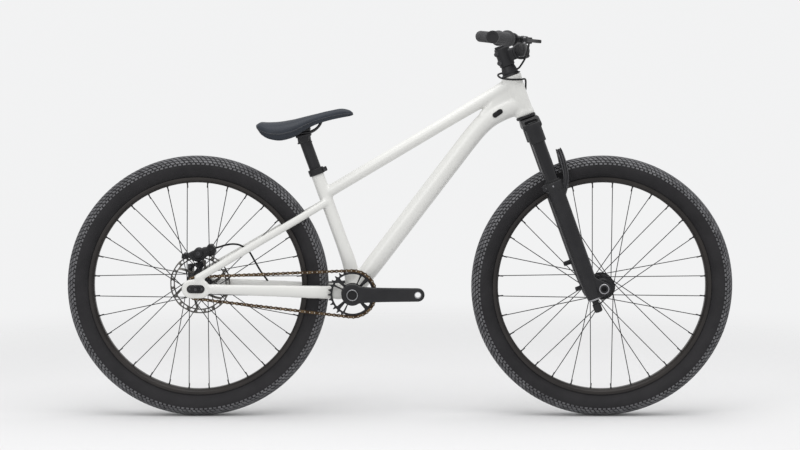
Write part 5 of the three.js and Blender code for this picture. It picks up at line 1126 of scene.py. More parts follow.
def pinPlace(k, d):
    # the pins counted from the top of the chainring towards the cog, in mm
    ring, cog = bike["bracket"] * 1000, bike["rearAxle"] * 1000
    back = atan2(cog.z - ring.z, cog.x - ring.x)
    topTurn, lowTurn = back - pi / 2 + drive["lean"], back + pi / 2 - drive["lean"]
    cogLinks = d["cogTeeth"] * (pi - 2 * drive["lean"]) / (2 * pi)

    def about(centre, radius, turn):
        return Vector((centre.x + radius * cos(turn), centre.z + radius * sin(turn)))
    straight = drive["straight"]
    if k < straight:
        return about(ring, drive["ringR"], topTurn).lerp(about(cog, drive["cogR"], topTurn), k / straight)
    k -= straight
    if k < cogLinks:
        return about(cog, drive["cogR"], topTurn + k * 2 * pi / d["cogTeeth"])
    k -= cogLinks
    if k < straight:
        return about(cog, drive["cogR"], lowTurn).lerp(about(ring, drive["ringR"], lowTurn), k / straight)
    return about(ring, drive["ringR"], lowTurn + (k - straight) * 2 * pi / d["ringTeeth"])


def seatPhase(centre, radius, d):
    # the turn of the first pin that lies on a sprocket
    middle = Vector((centre.x, centre.z)) * 1000
    for k in range(d["links"]):
        reach = pinPlace(k, d) - middle
        if abs(reach.length - radius) < 0.001:
            return atan2(reach.y, reach.x)
    return 0


def linkShape(d, height, waist):
    # a link plate: round about each pin and drawn in between them
    half = d["pitch"] / 2
    points = []
    for end in (1, -1):
        for k in range(11):
            t = (k / 10 - 0.5) * 1.34 * pi
            points.append((end * (half + height / 2 * cos(t)), end * height / 2 * sin(t)))
        points.append((0, end * waist / 2))
    return points


def makeChain(d):
    inner, outer = d["innerWidth"] / 2, d["innerWidth"] / 2 + d["plateThick"]
    pins, plates = [], []
    for end in (-1, 1):
        at = shift(end * d["pitch"] / 2, 0, 0) @ alongY
        pins.append(turned("pin", rounded(rod(1.8, -outer - 1.5, outer + 1.5), 0.4), at, 14))
    for side in (-1, 1):
        plates.append(plate("outerPlate", linkShape(d, d["plateHeight"], 5.6), side * (outer + 0.05),
            side * (outer + d["plateThick"]), edge=0.25))
    innerParts = []
    for side in (-1, 1):
        innerParts.append(plate("innerPlate", linkShape(d, 7.9, 5.4), side * inner,
            side * outer, edge=0.25))
    for end in (-1, 1):
        at = shift(end * d["pitch"] / 2, 0, 0) @ alongY
        innerParts.append(turned("roller",
            rounded(rod(d["roller"], -inner + 0.05, inner - 0.05), 0.3), at, 20))
    corners, turns = [], []
    for k in range(d["links"]):
        a, b = pinPlace(k, d), pinPlace((k + 1) % d["links"], d)
        corners.append(mm((a.x + b.x) / 2, d["line"], (a.y + b.y) / 2))
        turns.append(-atan2(b.y - a.y, b.x - a.x))
    # the inner links take the lighter bronze, a painted highlight on the rollers
    for label, parts, odd, material in (("outerLinks", plates, 1, bronze),
            ("innerLinks", innerParts, 0, rollerBronze), ("pins", pins, 1, pinSteel)):
        link = newObject(label + "Link", joinMeshes(label, parts))
        path = bpy.data.meshes.new(label + "Path")
        path.from_pydata(corners, [], [])
        path.attributes.new("turn", "FLOAT", "POINT").data.foreach_set("value", turns)
        mesh = repeated(label, path, onLinks, {"Link": link, "Odd": odd, "Material": material})
        bpy.data.objects.remove(link)
        dress("chain" + label.capitalize(), [mesh], material, "frame", ["chain"])


def toothed(d, teeth, radius, phase):
    # round seats for the rollers and blunt rounded teeth between them
    _, high, tip = d["tooth"]
    seatR = d["roller"] + d["play"]
    points = []

    def push(r, across, turn):
        points.append((r * cos(turn) - across * sin(turn), r * sin(turn) + across * cos(turn)))
    for k in range(teeth):
        turn = phase + k * 2 * pi / teeth
        for j in range(9):
            bend = (j / 8 - 0.5) * 2 * pi / 2.75
            push(radius - seatR * cos(bend), seatR * sin(bend), turn)
        between = turn + pi / teeth
        for r, across in ((high * 0.8, -0.62), (high, -0.3), (high, 0.3), (high * 0.8, 0.62)):
            push(radius + r, across * tip, between)
    return points


def ringWindow(fromTurn, toTurn, low, high, corner, steps=9):
    # a window between two arms of a sprocket, with rounded corners
    points = []
    places = ((high, toTurn, -1, -1), (low, toTurn, 1, -1), (low, fromTurn, 1, 1), (high, fromTurn, -1, 1))
    for i, (radius, turn, inward, back) in enumerate(places):
        for k in range(5):
            bend = (i + k / 4) * pi / 2
            points.append((radius + corner * (inward + cos(bend)),
                turn + corner * (back + sin(bend)) / radius))
        if i in (1, 3):
            end = fromTurn if i == 1 else toTurn
            way = 1 if i == 1 else -1
            last = end + way * corner / radius
            start = points[-1][1]
            points += [(radius, mix(start, last, k / steps)) for k in range(1, steps)]
    return [(r * cos(t), r * sin(t)) for r, t in points]


def makeChainring(d):
    phase = seatPhase(bike["bracket"], drive["ringR"], d)
    shape = toothed(d, d["ringTeeth"], drive["ringR"], phase)
    outer = drive["ringR"] - d["plateHeight"] / 2 - d["rimWidth"]
    holes = [circle(0, 0, d["hubBore"], 48)]
    quarter = 2 * pi / d["arms"]
    half, thin = asin(d["armWidth"] / 2 / outer), asin(d["thinWidth"] / 2 / outer)
    for arm in range(d["arms"]):
        middle = quarter / 2 + arm * quarter
        slim = middle + d["thinTurn"]
        for start, end in ((middle + half, slim - thin), (slim + thin, middle + quarter - half)):
            if end - start > 0.12:
                holes.append(ringWindow(start, end, d["hub"], outer,
                    min(2.4, (end - start) * d["hub"] / 2.6)))
    thick = d["tooth"][0] / 2
    ring = plate("ring", shape, d["line"] - thick, d["line"] + thick, holes, onCrank, 0.35)
    dress("chainringBody", [ring], satin, "crankset", ["chainring"])


def makeCog(d):
    phase = seatPhase(bike["rearAxle"], drive["cogR"], d)
    thick = d["tooth"][0] / 2
    teeth = plate("teeth", toothed(d, d["cogTeeth"], drive["cogR"], phase), d["line"] - thick,
        d["line"] + thick, [circle(0, 0, d["driver"] + 2, 40)], onRear, 0.3)
    near, far = d["driverEnds"]
    line, bore = d["line"], d["driverBore"]
    driver = turned("driver", rounded([(bore, near), (12.2, near), (12.2, near + 1.6),
        (d["driver"], near + 1.6), (d["driver"], line - 4), (d["driver"] + 4, line - 4),
        (d["driver"] + 4, line + 4), (d["driver"], line + 4), (d["driver"], far), (bore, far)],
        0.5), onRear @ alongY, 48)
    dress("cogTeeth", [teeth], rotorSteel, "cog", ["cog"])
    dress("cogDriver", [driver], satin, "cog", ["cog"])


crankSizes = {
    "length": 170, "boss": 28, "tip": 17.4, "face": 80, "thick": 15, "deep": 24, "bore": 12.4,
    "pedal": 7.2, "spider": 16, "spiderEnd": 47.1, "cup": (22, 10), "cupStart": 36.8, "sleeve": (17.7, 18),
    "spindle": (12, 9.5),
    "cap": (14.8, 12, 3),
}


def armShape(c):
    # from the round boss, drawn in smoothly, to the round pedal end
    points = []
    for k in range(17):
        t = -pi / 2 + pi * k / 16
        points.append((c["length"] + c["tip"] * cos(t), c["tip"] * sin(t)))
    flank = []
    for k in range(1, 24):
        x = c["length"] * (1 - k / 24)
        flank.append((x, c["tip"] + 1.6 * (1 - x / c["length"]) + 7.5 * exp(-x / 24)))
    return points + flank + [(x, -z) for x, z in reversed(flank)]


def makeArm(c, side):
    face, thick = c["face"], c["thick"]
    flip = Matrix.Identity(4) if side < 0 else Matrix.Rotation(pi, 4, "Z")
    blade = plate("armBlade", armShape(c), -face + 0.3, -face + thick, edge=3.4)
    boss = turned("armBoss", rounded(rod(c["boss"], -face + 0.3, -face + c["deep"]), 3.0, 4), alongY, 64)
    cuts = [turned("armBore", rod(c["bore"], -face - 3, -face + c["deep"] + 3), alongY, 40),
        turned("pedalBore", rod(c["pedal"] + 2, -face - 3, -face + thick + 3),
        shift(c["length"], 0, 0) @ alongY, 40)]
    body = blended("arm", [blade, boss], 0.0011, 5, cuts)
    body.transform(onCrank @ flip)
    insert = turned("pedalInsert",
        rounded(pipe(c["pedal"], c["pedal"] + 1.9, -face + 0.5, -face + thick - 0.4), 0.4),
        onCrank @ flip @ shift(c["length"], 0, 0) @ alongY, 32)
    return body, insert


def makeCranks(c):
    for word, side in bothSides:
        body, insert = makeArm(c, side)
        dress("crankArm" + word, [body], satin, "crankset", ["crank_arm_" + word.lower()])
        dress("pedalInsert" + word, [insert], steel, "crankset")
        radius, width = c["cup"]
        sleeveR, sleeve = c["sleeve"]
        start = side * c["cupStart"]
        outer = start + side * width
        profile = [(c["bore"], start - side * sleeve), (sleeveR, start - side * sleeve), (sleeveR, start),
            (radius, start), (radius, outer - side * 2), (radius - 2, outer), (c["bore"] + 4, outer),
            (c["bore"] + 3.4, outer - side * 0.8), (c["bore"], outer - side * 0.8)]
        cup = turned("cup", rounded(profile, 0.5), onCrank @ alongY, 56)
        notch = turned("notch", rod(1.9, -3, 3), None, 12)
        ringAt = shift(radius, start + side * width * 0.45, 0) @ faceAhead
        notch.transform(ringAt)
        notches = around("notches", notch, 16, satin, onCrank)
        cup = bored(newObject("cupBody", cup), [notches])
        tidyMesh(cup)
        dress("bracketCup" + word, [cup], satin, "frame", ["bb_cup_" + word.lower()])
    stub = turned("spiderStub", rounded(pipe(c["bore"], c["spider"], -56.5, -c["spiderEnd"]),
        0.4), onCrank @ alongY, 48)
    dress("crankSpider", [stub], satin, "crankset", ["crank_arm_right"])
    outer, inner = c["spindle"]
    end = c["face"] - 0.3
    tubeMesh = turned("spindle", rounded(pipe(inner, outer, -end, end), 0.5), onCrank @ alongY, 48)
    dress("crankSpindle", [tubeMesh], steel, "crankset", ["crank_spindle"])
    outer, inner, thick = c["cap"]
    face = -c["face"] - 0.3
    cap = turned("cap", rounded([(inner, face - 1.2), (inner + 1.2, face - thick),
        (outer - 0.8, face - thick), (outer, face - thick + 0.8), (outer, face), (inner, face)],
        0.4), onCrank @ alongY, 48)
    dress("crankCapRing", [cap], steel, "crankset", ["crank_cap"])
    plug = turned("plug", rounded([(0, face + 0.2), (inner + 0.1, face + 0.2), (inner + 0.1, face - 0.6),
        (inner - 2, face - 0.9), (0, face - 0.9)], 0.3), onCrank @ alongY, 40)
    dress("crankCap", [plug], hoseFinish, "crankset", ["crank_cap"])


makeChain(driveSizes)
makeChainring(driveSizes)
makeCog(driveSizes)
makeCranks(crankSizes)
print("stage: drive")


# Fork: crown, legs, arch and axle, along the steering axis
forkSizes = {
    "legs": 62, "ahead": 5, "stanchion": (17.5, 150, 467), "socket": (22, 415, 467),
    "crown": (453, 480, 26, 12),
    "steerer": (14.3, 461, 675.2), "lowersTop": 307, "leg": 22.3, "collar": (20, 2.8), "foot": (-21, 15),
    "taper": (40, 19), "bore": (262, 17.8), "seal": (20.5, 5), "arch": (46, 267, 100, 11, 9),
    "archShares": [(0.3, 1, 0), (0.8, 0.86, 0.34), (1, 0.45, 0.84), (1, 0, 1)],
    "lug": (37, 17, 55, 73), "axle": (9.6, 6.5), "ring": (13, 3), "spacer": (12.4, 37.8, 54.7),
    "posts": ((7, 34), (81, 41)), "postRadius": 6.4, "postsAt": 53,
    "knob": [(8, -53.3), (10.8, -50.5), (10.8, -31.9), (8.5, -29.3), (8.5, -21.5)],
    "clip": (-31, -16, 8, 14), "ridge": (10.2, 5.6, 1.7),
}


def legAt(f, side):
    return onFork @ shift(f["ahead"], side * f["legs"], 0)


def crownMeshes(f):
    foot, top, deep, shoulder = f["crown"]
    outer = f["legs"] + f["socket"][0] - shoulder
    shape = [(-outer, foot), (-deep - 6, foot + 1), (-deep, foot + 4), (deep, foot + 4),
        (deep + 6, foot + 1), (outer, foot), (outer + 3, foot + 7), (outer, 467), (deep + shoulder, top),
        (-deep - shoulder, top), (-outer, 467), (-outer - 3, foot + 7)]
    across = onFork @ shift(f["ahead"], 0, 0) @ quarterTurn
    parts = [plate("crownBlock", shape, -deep + 1, deep - 1, place=across, edge=4)]
    radius, low, high = f["socket"]
    for side in (-1, 1):
        parts.append(turned("socket", rounded(rod(radius, low, high), 1.5), legAt(f, side), 64))
    return parts


def makeCrown(f):
    radius, low, high = f["socket"]
    tubeR, tubeFoot, tubeTop = f["stanchion"]
    cuts = []
    for side in (-1, 1):
        cuts.append(turned("socketBore", rod(tubeR + 0.3, low - past, high + 8), legAt(f, side), 48))
    foot = f["steerer"][1]
    cuts.append(turned("steererBore", rod(f["steerer"][0] + 0.3, foot - 0.3, 500), onFork, 48))
    crown = blended("crown", crownMeshes(f), 0.0014, 5, cuts)
    dress("forkCrown", crown, satin, "steering", ["fork_crown"])
    for word, side in bothSides:
        tubeMesh = turned("stanchion", rounded(rod(tubeR, tubeFoot, tubeTop), 0.8), legAt(f, side), 72)
        cap = turned("legCap",
            rounded([(0, tubeTop + 0.2), (15, tubeTop + 0.2), (15, tubeTop + 2.4), (9, tubeTop + 2.4),
            (8, tubeTop + 1.2), (0, tubeTop + 1.2)], 0.4), legAt(f, side), 40)
        dress("stanchion" + word, [tubeMesh], gloss, "steering", ["stanchion_" + word.lower()])
        dress("legCap" + word, [cap], satin, "steering")
    radius, low, high = f["steerer"]
    dress("steererTube", [turned("steerer", rounded(rod(radius, low, high), 0.6), onFork, 48)], satin,
        "steering", ["steerer_tube"])


def archLine(f):
    reach, root, rise, _, _ = f["arch"]
    points = [Vector((f["ahead"] + a * reach, -c * f["legs"], root + r * rise)) / 1000
        for a, c, r in f["archShares"]]
    points += [Vector((p.x, -p.y, p.z)) for p in reversed(points[:-1])]
    return splinePoints(points, 60)


def postAt(f, up):
    return onFork @ shift(f["ahead"], f["postsAt"], up) @ faceBack


def lowerMeshes(f):
    parts = []
    top, radius = f["lowersTop"], f["leg"]
    high, proud = f["collar"]
    footS, footR = f["foot"]
    taper, taperR = f["taper"]
    for side in (-1, 1):
        leg = [(0, footS), (footR, footS), (footR + 1.5, footS + 3), (taperR, -4), (taperR, 6),
            (radius - 0.6, taper), (radius, taper + 30), (radius, top - high - 3),
            (radius + proud, top - high), (radius + proud, top), (0, top)]
        parts.append(turned("leg", rounded(leg, 1.2), legAt(f, side), 72))
        back, front, halfWide, tall = f["clip"]
        parts.append(block("clip", (f["ahead"] + back, side * f["legs"] - halfWide, top - tall - 3),
            (f["ahead"] + front, side * f["legs"] + halfWide, top - 3), onFork, 2.5))
        ahead, lugR, inner, outer = f["lug"]
        near = f["ahead"]
        shape = [(near - 15, -12), (near - 15, 34), (near + 10, 44), (near + 20, 34)]
        shape += arc(ahead, 0, lugR, radians(52), -pi / 2, 16) + [(near + 6, -20)]
        parts.append(plate("lug", shape, side * inner, side * outer, place=onFork, edge=1.6))
    halfHigh, halfDeep = f["arch"][3:]
    parts.append(tube("arch", archLine(f), lambda t: (halfHigh, halfDeep * mix(0.82, 1.0, abs(2 * t - 1))),
        28, Vector((1, 0, 0)), onFork))
    for up, reach in f["posts"]:
        parts.append(turned("post", rounded(rod(f["postRadius"], 0, reach), 1), postAt(f, up), 32))
    return parts


def makeLowers(f):
    boreLength, bore = f["bore"]
    top = f["lowersTop"]
    cuts = []
    for side in (-1, 1):
        cuts.append(turned("legBore", rod(bore, top - boreLength, top + past), legAt(f, side), 48))
    ahead = f["lug"][0]
    onAxle = onFork @ shift(ahead, 0, 0)
    cuts.append(turned("axleBore", rod(f["axle"][0] + 0.3, -90, 90), onAxle @ alongY, 48))
    for up, reach in f["posts"]:
        cuts.append(turned("postThread", rod(3, reach - 12, reach + 4), postAt(f, up), 24))
    lowers = blended("lowers", lowerMeshes(f), 0.0019, 5, cuts)
    dress("forkLowers", lowers, satin, "fork_lowers", ["fork_lowers"])
    line = archLine(f)
    out, apart, ridgeR = f["ridge"]
    ridges, dots = [], []
    for way in (-1, 1):
        points = []
        for k in range(3, len(line) - 3):
            normal = (line[k + 1] - line[k - 1]).cross(Vector((1, 0, 0))).normalized()
            points.append(line[k] - normal * out / 1000 + mm(way * apart, 0, 0))
        ridges.append(roundTube("ridge", points, ridgeR, 10, onFork))
    dress("archRidges", ridges, darkSteel, "fork_lowers", ())
    for side in (-1, 1):
        for ahead in (-20, -3):
            out = f["leg"] + f["collar"][1] - (13 if ahead < -10 else 0.6)
            at = legAt(f, side) @ shift(ahead, side * out, top - 10)
            dots.append(bolt("clipScrew", 2.3, 1.4, at @ faceOut[side]))
    dress("clipScrews", dots, steel, "fork_lowers")
    outer, high = f["seal"]
    start = top + 0.3
    for word, side in bothSides:
        seal = turned("seal", rounded([(bore, start), (outer, start), (outer, start + 1.6),
            (outer - 0.8, start + 2), (outer - 0.8, start + 3), (outer - 0.2, start + 3.4),
            (outer - 1.5, start + high), (bore + 0.4, start + high)], 0.3), legAt(f, side), 56)
        dress("wiperSeal" + word, [seal], rubber, "fork_lowers", ["wiper_seal_" + word.lower()])
        band = turned("footBand", rounded([(15.3, -19.5), (17.1, -19.5), (17.6, -15.5), (16, -15.5)],
            0.4), legAt(f, side), 48)
        dress("footBand" + word, [band], steel, "fork_lowers")
    radius, hollow = f["axle"]
    ringR, ringWide = f["ring"]
    outerEnd = f["lug"][3] + 0.3
    end = outerEnd + ringWide
    profile = [(0, -end + 14), (hollow, -end + 14), (hollow, -end), (radius, -end), (ringR, -end),
        (ringR, -outerEnd), (radius, -outerEnd)]
    spacer, near, far = f["spacer"]
    profile += [(radius, -far), (spacer, -far), (spacer, -near), (radius, -near), (radius, near),
        (spacer, near), (spacer, far), (radius, far), (radius, outerEnd), (ringR, outerEnd), (ringR, end),
        (4, end), (4, end - 5), (0, end - 5)]
    axle = turned("axle", rounded(profile, 0.5), onAxle @ alongY, 56)
    dress("frontAxle", [axle], satin, "fork_lowers", ["front_axle"])
    rings = [turned("axleRing",
        rounded([(ringR - 2.4, side * (end - 0.8)), (ringR + 0.2, side * (end - 0.8)),
        (ringR + 0.2, side * end), (ringR - 0.6, side * (end + 0.6)), (ringR - 2.4, side * (end + 0.6))],
        0.2), onAxle @ alongY, 56) for side in (-1, 1)]
    dress("axleRings", rings, steel, "fork_lowers")
    dial = f["knob"]
    knob = turned("dial", rounded([(0, dial[0][1])] + dial + [(0, dial[-1][1])], 0.7), legAt(f, -1), 48)
    rib = block("dialRib", (8.0, -0.7, -46), (8.9, 0.7, -34), None, 0.2, 2)
    rib.transform(faceRight)
    ribs = around("dialRibs", rib, 18, satin)
    ribs.transform(legAt(f, -1) @ alongY)
    dress("reboundDial", [knob, ribs], satin, "rebound_knob", ["rebound_knob"])


makeCrown(forkSizes)
makeLowers(forkSizes)
print("stage: fork")


# Cockpit: headset, spacer, stem, handlebar, grips and lever
headSizes = {
    "lower": [(14.7, 480.3), (23, 480.3), (26, 483), (26, 488.3), (21.7, 488.3), (21.7, 496), (14.7, 496)],
    "upper": [(14.7, 591.9), (21.7, 591.9), (21.7, 599.9), (26, 599.9), (26, 601.2), (21, 604.9),
              (14.7, 604.9)],
    "spacer": [(14.7, 605.2), (21, 605.2), (21, 610.2), (17.5, 625.2), (14.7, 625.2)],
    "cap": (17.5, 675.8, 5),
}
stemSizes = {
    "foot": 625.5, "top": 675.5, "radius": 20, "reach": 45, "arm": 34, "bore": 14.6, "clamp": (22, 27),
    "armHigh": 32, "barHole": 16.2, "gap": 1.5, "slit": 2.5, "bolts": (12, 4.5), "boss": (6.4, 16.5, 2.6),
    "plateBolts": (20, 18, 3.2), "ear": (5, 13), "window": (10, 20, 18), "beyond": 60,
}


def makeHeadset(h):
    for word, label in (("lower", "headset_lower_cup"), ("upper", "headset_upper_cup")):
        dress("headset" + word.capitalize(), [turned(word, rounded(h[word], 0.6), onFork, 72)],
            satin, "frame", [label])
    dress("headsetSpacer", [turned("spacer", rounded(h["spacer"], 0.5), onFork, 72)], satin,
        "steering", ["headset_spacer"])
    radius, foot, high = h["cap"]
    cap = turned("cap", rounded([(0, foot), (radius, foot), (radius, foot + high - 1.4),
        (radius - 2, foot + high), (5.2, foot + high), (4.6, foot + high - 1.6),
        (0, foot + high - 1.6)], 0.5), onFork, 64)
    dress("topCap", [cap], satin, "steering", ["top_cap"])


def makeStem(s):
    middle = (s["foot"] + s["top"]) / 2
    clampR, clampHalf = s["clamp"]
    reach, beyond = s["reach"], s["beyond"]
    armHalf, armHigh = s["arm"] / 2 - 1, s["armHigh"] / 2
    atBar = onFork @ shift(reach, 0, middle) @ alongY
    parts = [turned("steererClamp", rounded(rod(s["radius"], s["foot"], s["top"]), 2), onFork, 64),
        turned("barClamp", rounded(rod(clampR, -clampHalf, clampHalf), 2), atBar, 64),
        block("stemArm", (0, -armHalf, middle - armHigh), (reach, armHalf, middle + armHigh), onFork, 5)]
    away, boltR = s["bolts"]
    bossR, bossEnd, inset = s["boss"]
    for way in (-1, 1):
        at = onFork @ shift(-s["radius"] + inset, 0, middle + way * away) @ alongY
        parts.append(turned("boss", rounded(rod(bossR, -bossEnd, bossEnd), 1), at, 32))
    bore = turned("bore", rod(s["bore"], s["foot"] - past, s["top"] + past), onFork, 48)
    barHole = turned("barHole", rod(s["barHole"], -beyond, beyond), atBar, 56)
    half = s["slit"] / 2
    slit = block("slit", (-2 * s["radius"], -half, s["foot"] - past),
        (-s["radius"] / 2, half, s["top"] + past), onFork, 0)
    ahead = block("ahead", (reach - s["gap"] / 2, -beyond, middle - beyond),
        (reach + beyond, beyond, middle + beyond), onFork, 0)
    body = blended("stem", parts, 0.0012, 5, [bore, barHole, slit, ahead])
    dress("stemBody", body, satin, "steering", ["stem"])
    across, rise, screwR = s["plateBolts"]
    corners = [(way * across, middle + lift * rise) for way in (-1, 1) for lift in (-1, 1)]
    clampFace = [turned("plateClamp", rounded(rod(clampR, -clampHalf, clampHalf), 2), atBar, 64)]
    earR, earLong = s["ear"]
    for y, z in corners:
        clampFace.append(turned("ear", rounded(rod(earR, 0, earLong), 1),
            onFork @ shift(reach + 1, y, z) @ faceAhead, 28))
    behind = block("behind", (reach - beyond, -beyond, middle - beyond),
        (reach + s["gap"] / 2, beyond, middle + beyond), onFork, 0)
    start, wide, high = s["window"]
    window = block("faceWindow", (reach + start, -wide / 2, middle - high / 2),
        (reach + 4 * start, wide / 2, middle + high / 2), onFork, 3)
    face = blended("faceplate", clampFace, 0.0011, 4, [barHole.copy(), behind, window])
    dress("stemFaceplate", face, satin, "steering", ["stem_faceplate"])
    bolts = [bolt("plateBolt", screwR, 2.6, onFork @ shift(reach + earLong + 1, y, z) @ faceAhead)
        for y, z in corners]
    for way in (-1, 1):
        at = onFork @ shift(-s["radius"] + inset, -bossEnd, middle + way * away)
        bolts.append(bolt("clampBolt", boltR, 2.2, at @ faceRight))
    dress("stemBolts", bolts, darkSteel, "steering")


barSizes = {
    "reach": 45, "middle": 650.5, "radius": (15.9, 11.1), "flat": 42, "bend": 118, "half": 383, "rise": 30,
    "back": radians(15), "up": radians(7.5), "grip": (142, 15.6, 21, 4), "bore": 11.4, "plug": 4,
    "ribs": 26,
    "lever": 51,
}


def barPlace(b, across):
    out = abs(across) - b["bend"]
    return mm(b["reach"] - out * tan(b["back"]), across, b["middle"] + b["rise"] + out * tan(b["up"]))


def barLine(b):
    bendStart, share = b["bend"], 0.85
    flat = mm(b["reach"], b["flat"], b["middle"])
    easing = mm(b["reach"], mix(b["flat"], bendStart, 1 - share), b["middle"])
    leaving, after = barPlace(b, bendStart * share), barPlace(b, bendStart + b["radius"][1])
    half = bezier([flat, easing, leaving, after], 40)
    half += [half[-1].lerp(barPlace(b, b["half"]), k / 20) for k in range(1, 21)]
    mirrored = [Vector((p.x, -p.y, p.z)) for p in reversed(half)]
    return evenly(mirrored + half, 150)


def makeBar(b):
    line = barLine(b)
    thick, thin = b["radius"]
    last = len(line) - 1

    def size(t):
        across = abs(line[round(t * last)].y) * 1000
        share = min(max((across - b["flat"]) / (b["bend"] - b["flat"]), 0), 1)
        return (mix(thick, thin, share * share * (3 - 2 * share)),) * 2
    dress("handlebarTube", [tube("bar", line, size, 40, Vector((0, 0, 1)), onFork)], satin,
        "steering", ["handlebar"])
    length, radius, flangeR, flange = b["grip"]
    for word, side in bothSides:
        inner, outer = barPlace(b, side * (b["half"] - length)), barPlace(b, side * (b["half"] - 0.3))
        way = (outer - inner).normalized()
        span = (outer - inner).length * 1000
        turn = pointed(way)
        at = onFork @ Matrix.Translation(inner) @ turn
        core = [(b["bore"], 0), (flangeR - 1, 0), (flangeR, 0.8), (flangeR, flange - 0.6),
            (flangeR - 1, flange), (radius - 1.6, flange + 1.2), (radius - 1.3, span - 8),
            (radius - 0.2, span - 7), (radius, span - 1), (radius - 0.8, span), (b["bore"], span)]
        sleeve = turned("sleeve", rounded(core, 0.4), at, 48)
        step = (span - flange - 14) / b["ribs"]
        rib = turned("rib", rounded([(radius - 2.2, -step * 0.32), (radius - 0.3, -step * 0.26),
            (radius, 0), (radius - 0.3, step * 0.26), (radius - 2.2, step * 0.32)], 0.2), None, 48)
        ribs = repeated("ribs", rib, inRow, {"Count": b["ribs"], "Step": (0, 0, step / 1000),
            "Material": rubber}, at @ shift(0, 0, flange + 4), 40)
        dress("grip" + word, [sleeve, ribs], gripFinish, "steering",
            ["grip_" + word.lower()], sharpAngle=40)
        plugAt = onFork @ Matrix.Translation(barPlace(b, side * b["half"])) @ turn
        plug = turned("plug", rounded([(0, 0.3), (radius, 0.3), (radius, b["plug"] - 0.8),
            (radius - 1.4, b["plug"]), (10, b["plug"]), (9.4, b["plug"] - 0.9), (0, b["plug"] - 0.9)], 0.4),
            plugAt, 48)
        dress("barPlug" + word, [plug], rubber, "steering", ["bar_plug_" + word.lower()])


makeHeadset(headSizes)
makeStem(stemSizes)
makeBar(barSizes)
print("stage: cockpit")


# Brake lever: housing on the bar with its reservoir, and the blade on its pin
leverSizes = {
    "turn": radians(24), "clamp": (16.5, 14), "bore": 11.4, "body": (26, 9.5, -14, 52),
    "yoke": (10, -22, 8), "yokeSize": (30, 16), "gap": 10.2, "cheek": 3, "lid": (-6, 7, -2, 34, 10.4),
    "screwsAt": (2, 30), "nut": (3.2, 4.2), "pin": 3, "length": 92, "thick": 9, "wide": 10, "bow": 8,
    "knuckle": 7.4,
}


def leverFrame(b, s):
    at = barPlace(b, -(b["half"] - b["grip"][0] - b["lever"]))
    way = (barPlace(b, -b["bend"]) - barPlace(b, -b["half"])).normalized()
    turn = Vector((0, 1, 0)).rotation_difference(way) @ Matrix.Rotation(s["turn"], 3, "Y").to_quaternion()
    return onFork @ Matrix.Translation(at) @ turn.to_matrix().to_4x4()


def makeLever(b, s):
    at = leverFrame(b, s)
    clampR, clampWide = s["clamp"]
    offset, bodyR, near, far = s["body"]
    forward, back, pivotR = s["yoke"]
    half = clampWide / 2
    clamp = turned("clamp", rounded(rod(clampR, -half, half), 1.5), at @ alongY, 48)
    neck = block("neck", (0, -half, -half), (offset, half, half), at, 3)
    onBody = at @ shift(offset, 0, 0) @ alongY
    profile = [(0, near), (bodyR - 1.5, near), (bodyR, near + 5), (bodyR, far - 12),
        (bodyR - 2, far - 3), (5, far), (0, far)]
    reservoir = turned("reservoir", rounded(profile, 2), onBody, 40)
    yokeHalf = s["gap"] / 2 + s["cheek"]
    yoke = plate("yoke", slot(*s["yokeSize"], offset + forward / 2, back, steps=10), -yokeHalf, yokeHalf,
        place=at @ flatPlate, edge=1.2)
    link = block("link", (offset - 8, back, -yokeHalf + 1), (offset, -10, yokeHalf - 1), at, 2)
    behind, front, start, end, top = s["lid"]
    lid = block("lid", (offset + behind, start, top / 2 - 0.2), (offset + front, end, top), at, 2.5)
    bore = turned("bore", rod(s["bore"], -40, 40), at @ alongY, 40)
    middle, reach = offset + forward + pivotR - 2.5, 2 * pivotR
    gap = block("gap", (middle - reach, back - pivotR - reach, -s["gap"] / 2),
        (middle + reach, back - pivotR + reach, s["gap"] / 2), at, 0)
    housing = blended("lever", [clamp, neck, reservoir, yoke, link, lid], 0.0009, 4, [bore, gap])
    dress("leverHousing", housing, satin, "steering", ["brake_lever_housing"])
    thin, thick = s["nut"]
    profile = [(0, far - 1), (thin, far - 1), (thick, far + 1), (thick, far + 6),
        (thin + 0.2, far + 8), (0, far + 8)]
    nut = turned("hoseNut", rounded(profile, 0.4), onBody, 6)
    screws = [bolt("lidScrew", 1.8, 0.8, at @ shift(offset + 0.5, y, top - 0.2)) for y in s["screwsAt"]]
    screws.append(bolt("clampScrew", 2.4, 2, at @ shift(-7, 0, 15.2)))
    pinAt = at @ shift(offset + forward, back, 0)
    screws.append(turned("pin", rounded(rod(s["pin"], -yokeHalf - 0.4, yokeHalf + 0.4), 0.4), pinAt, 28))
    dress("leverScrews", screws + [nut], steel, "steering")
    dress("leverBlade", [bladeMesh(s, pinAt)], satin, "brake_lever", ["brake_lever_blade"])


def bladeMesh(s, pinAt):
    # the blade's outline seen along its pin, round in section
    length, bow, wide = s["length"], s["bow"], s["wide"] / 2
    knuckle = s["knuckle"]

    def curve(a, b, c, steps=10):
        return [tuple(Vector(a) * (1 - t) ** 2 + Vector(b) * 2 * t * (1 - t) + Vector(c) * t * t)
            for t in (k / steps for k in range(1, steps + 1))]
    points = [(-knuckle, 0)]
    points += curve(points[-1], (-knuckle, -0.25 * length), (bow - wide, -0.5 * length))
    points += curve(points[-1], (bow, -0.8 * length), (bow + wide / 2, -length))
    points += curve(points[-1], (bow + 2 * wide, -length - 7), (bow + 3 * wide, -length), 8)
    points += curve(points[-1], (bow + wide, -0.8 * length), (bow + wide, -0.5 * length))
    points += curve(points[-1], (knuckle + wide / 2, -0.25 * length), (knuckle, 0))
    points += curve(points[-1], (0, knuckle * 1.6), (-knuckle, 0))[:-1]
    half = s["thick"] / 2
    return plate("blade", points, -half, half, [circle(0, 0, s["pin"] + 0.3, 20)], pinAt @ flatPlate, 2.2)


makeLever(barSizes, leverSizes)


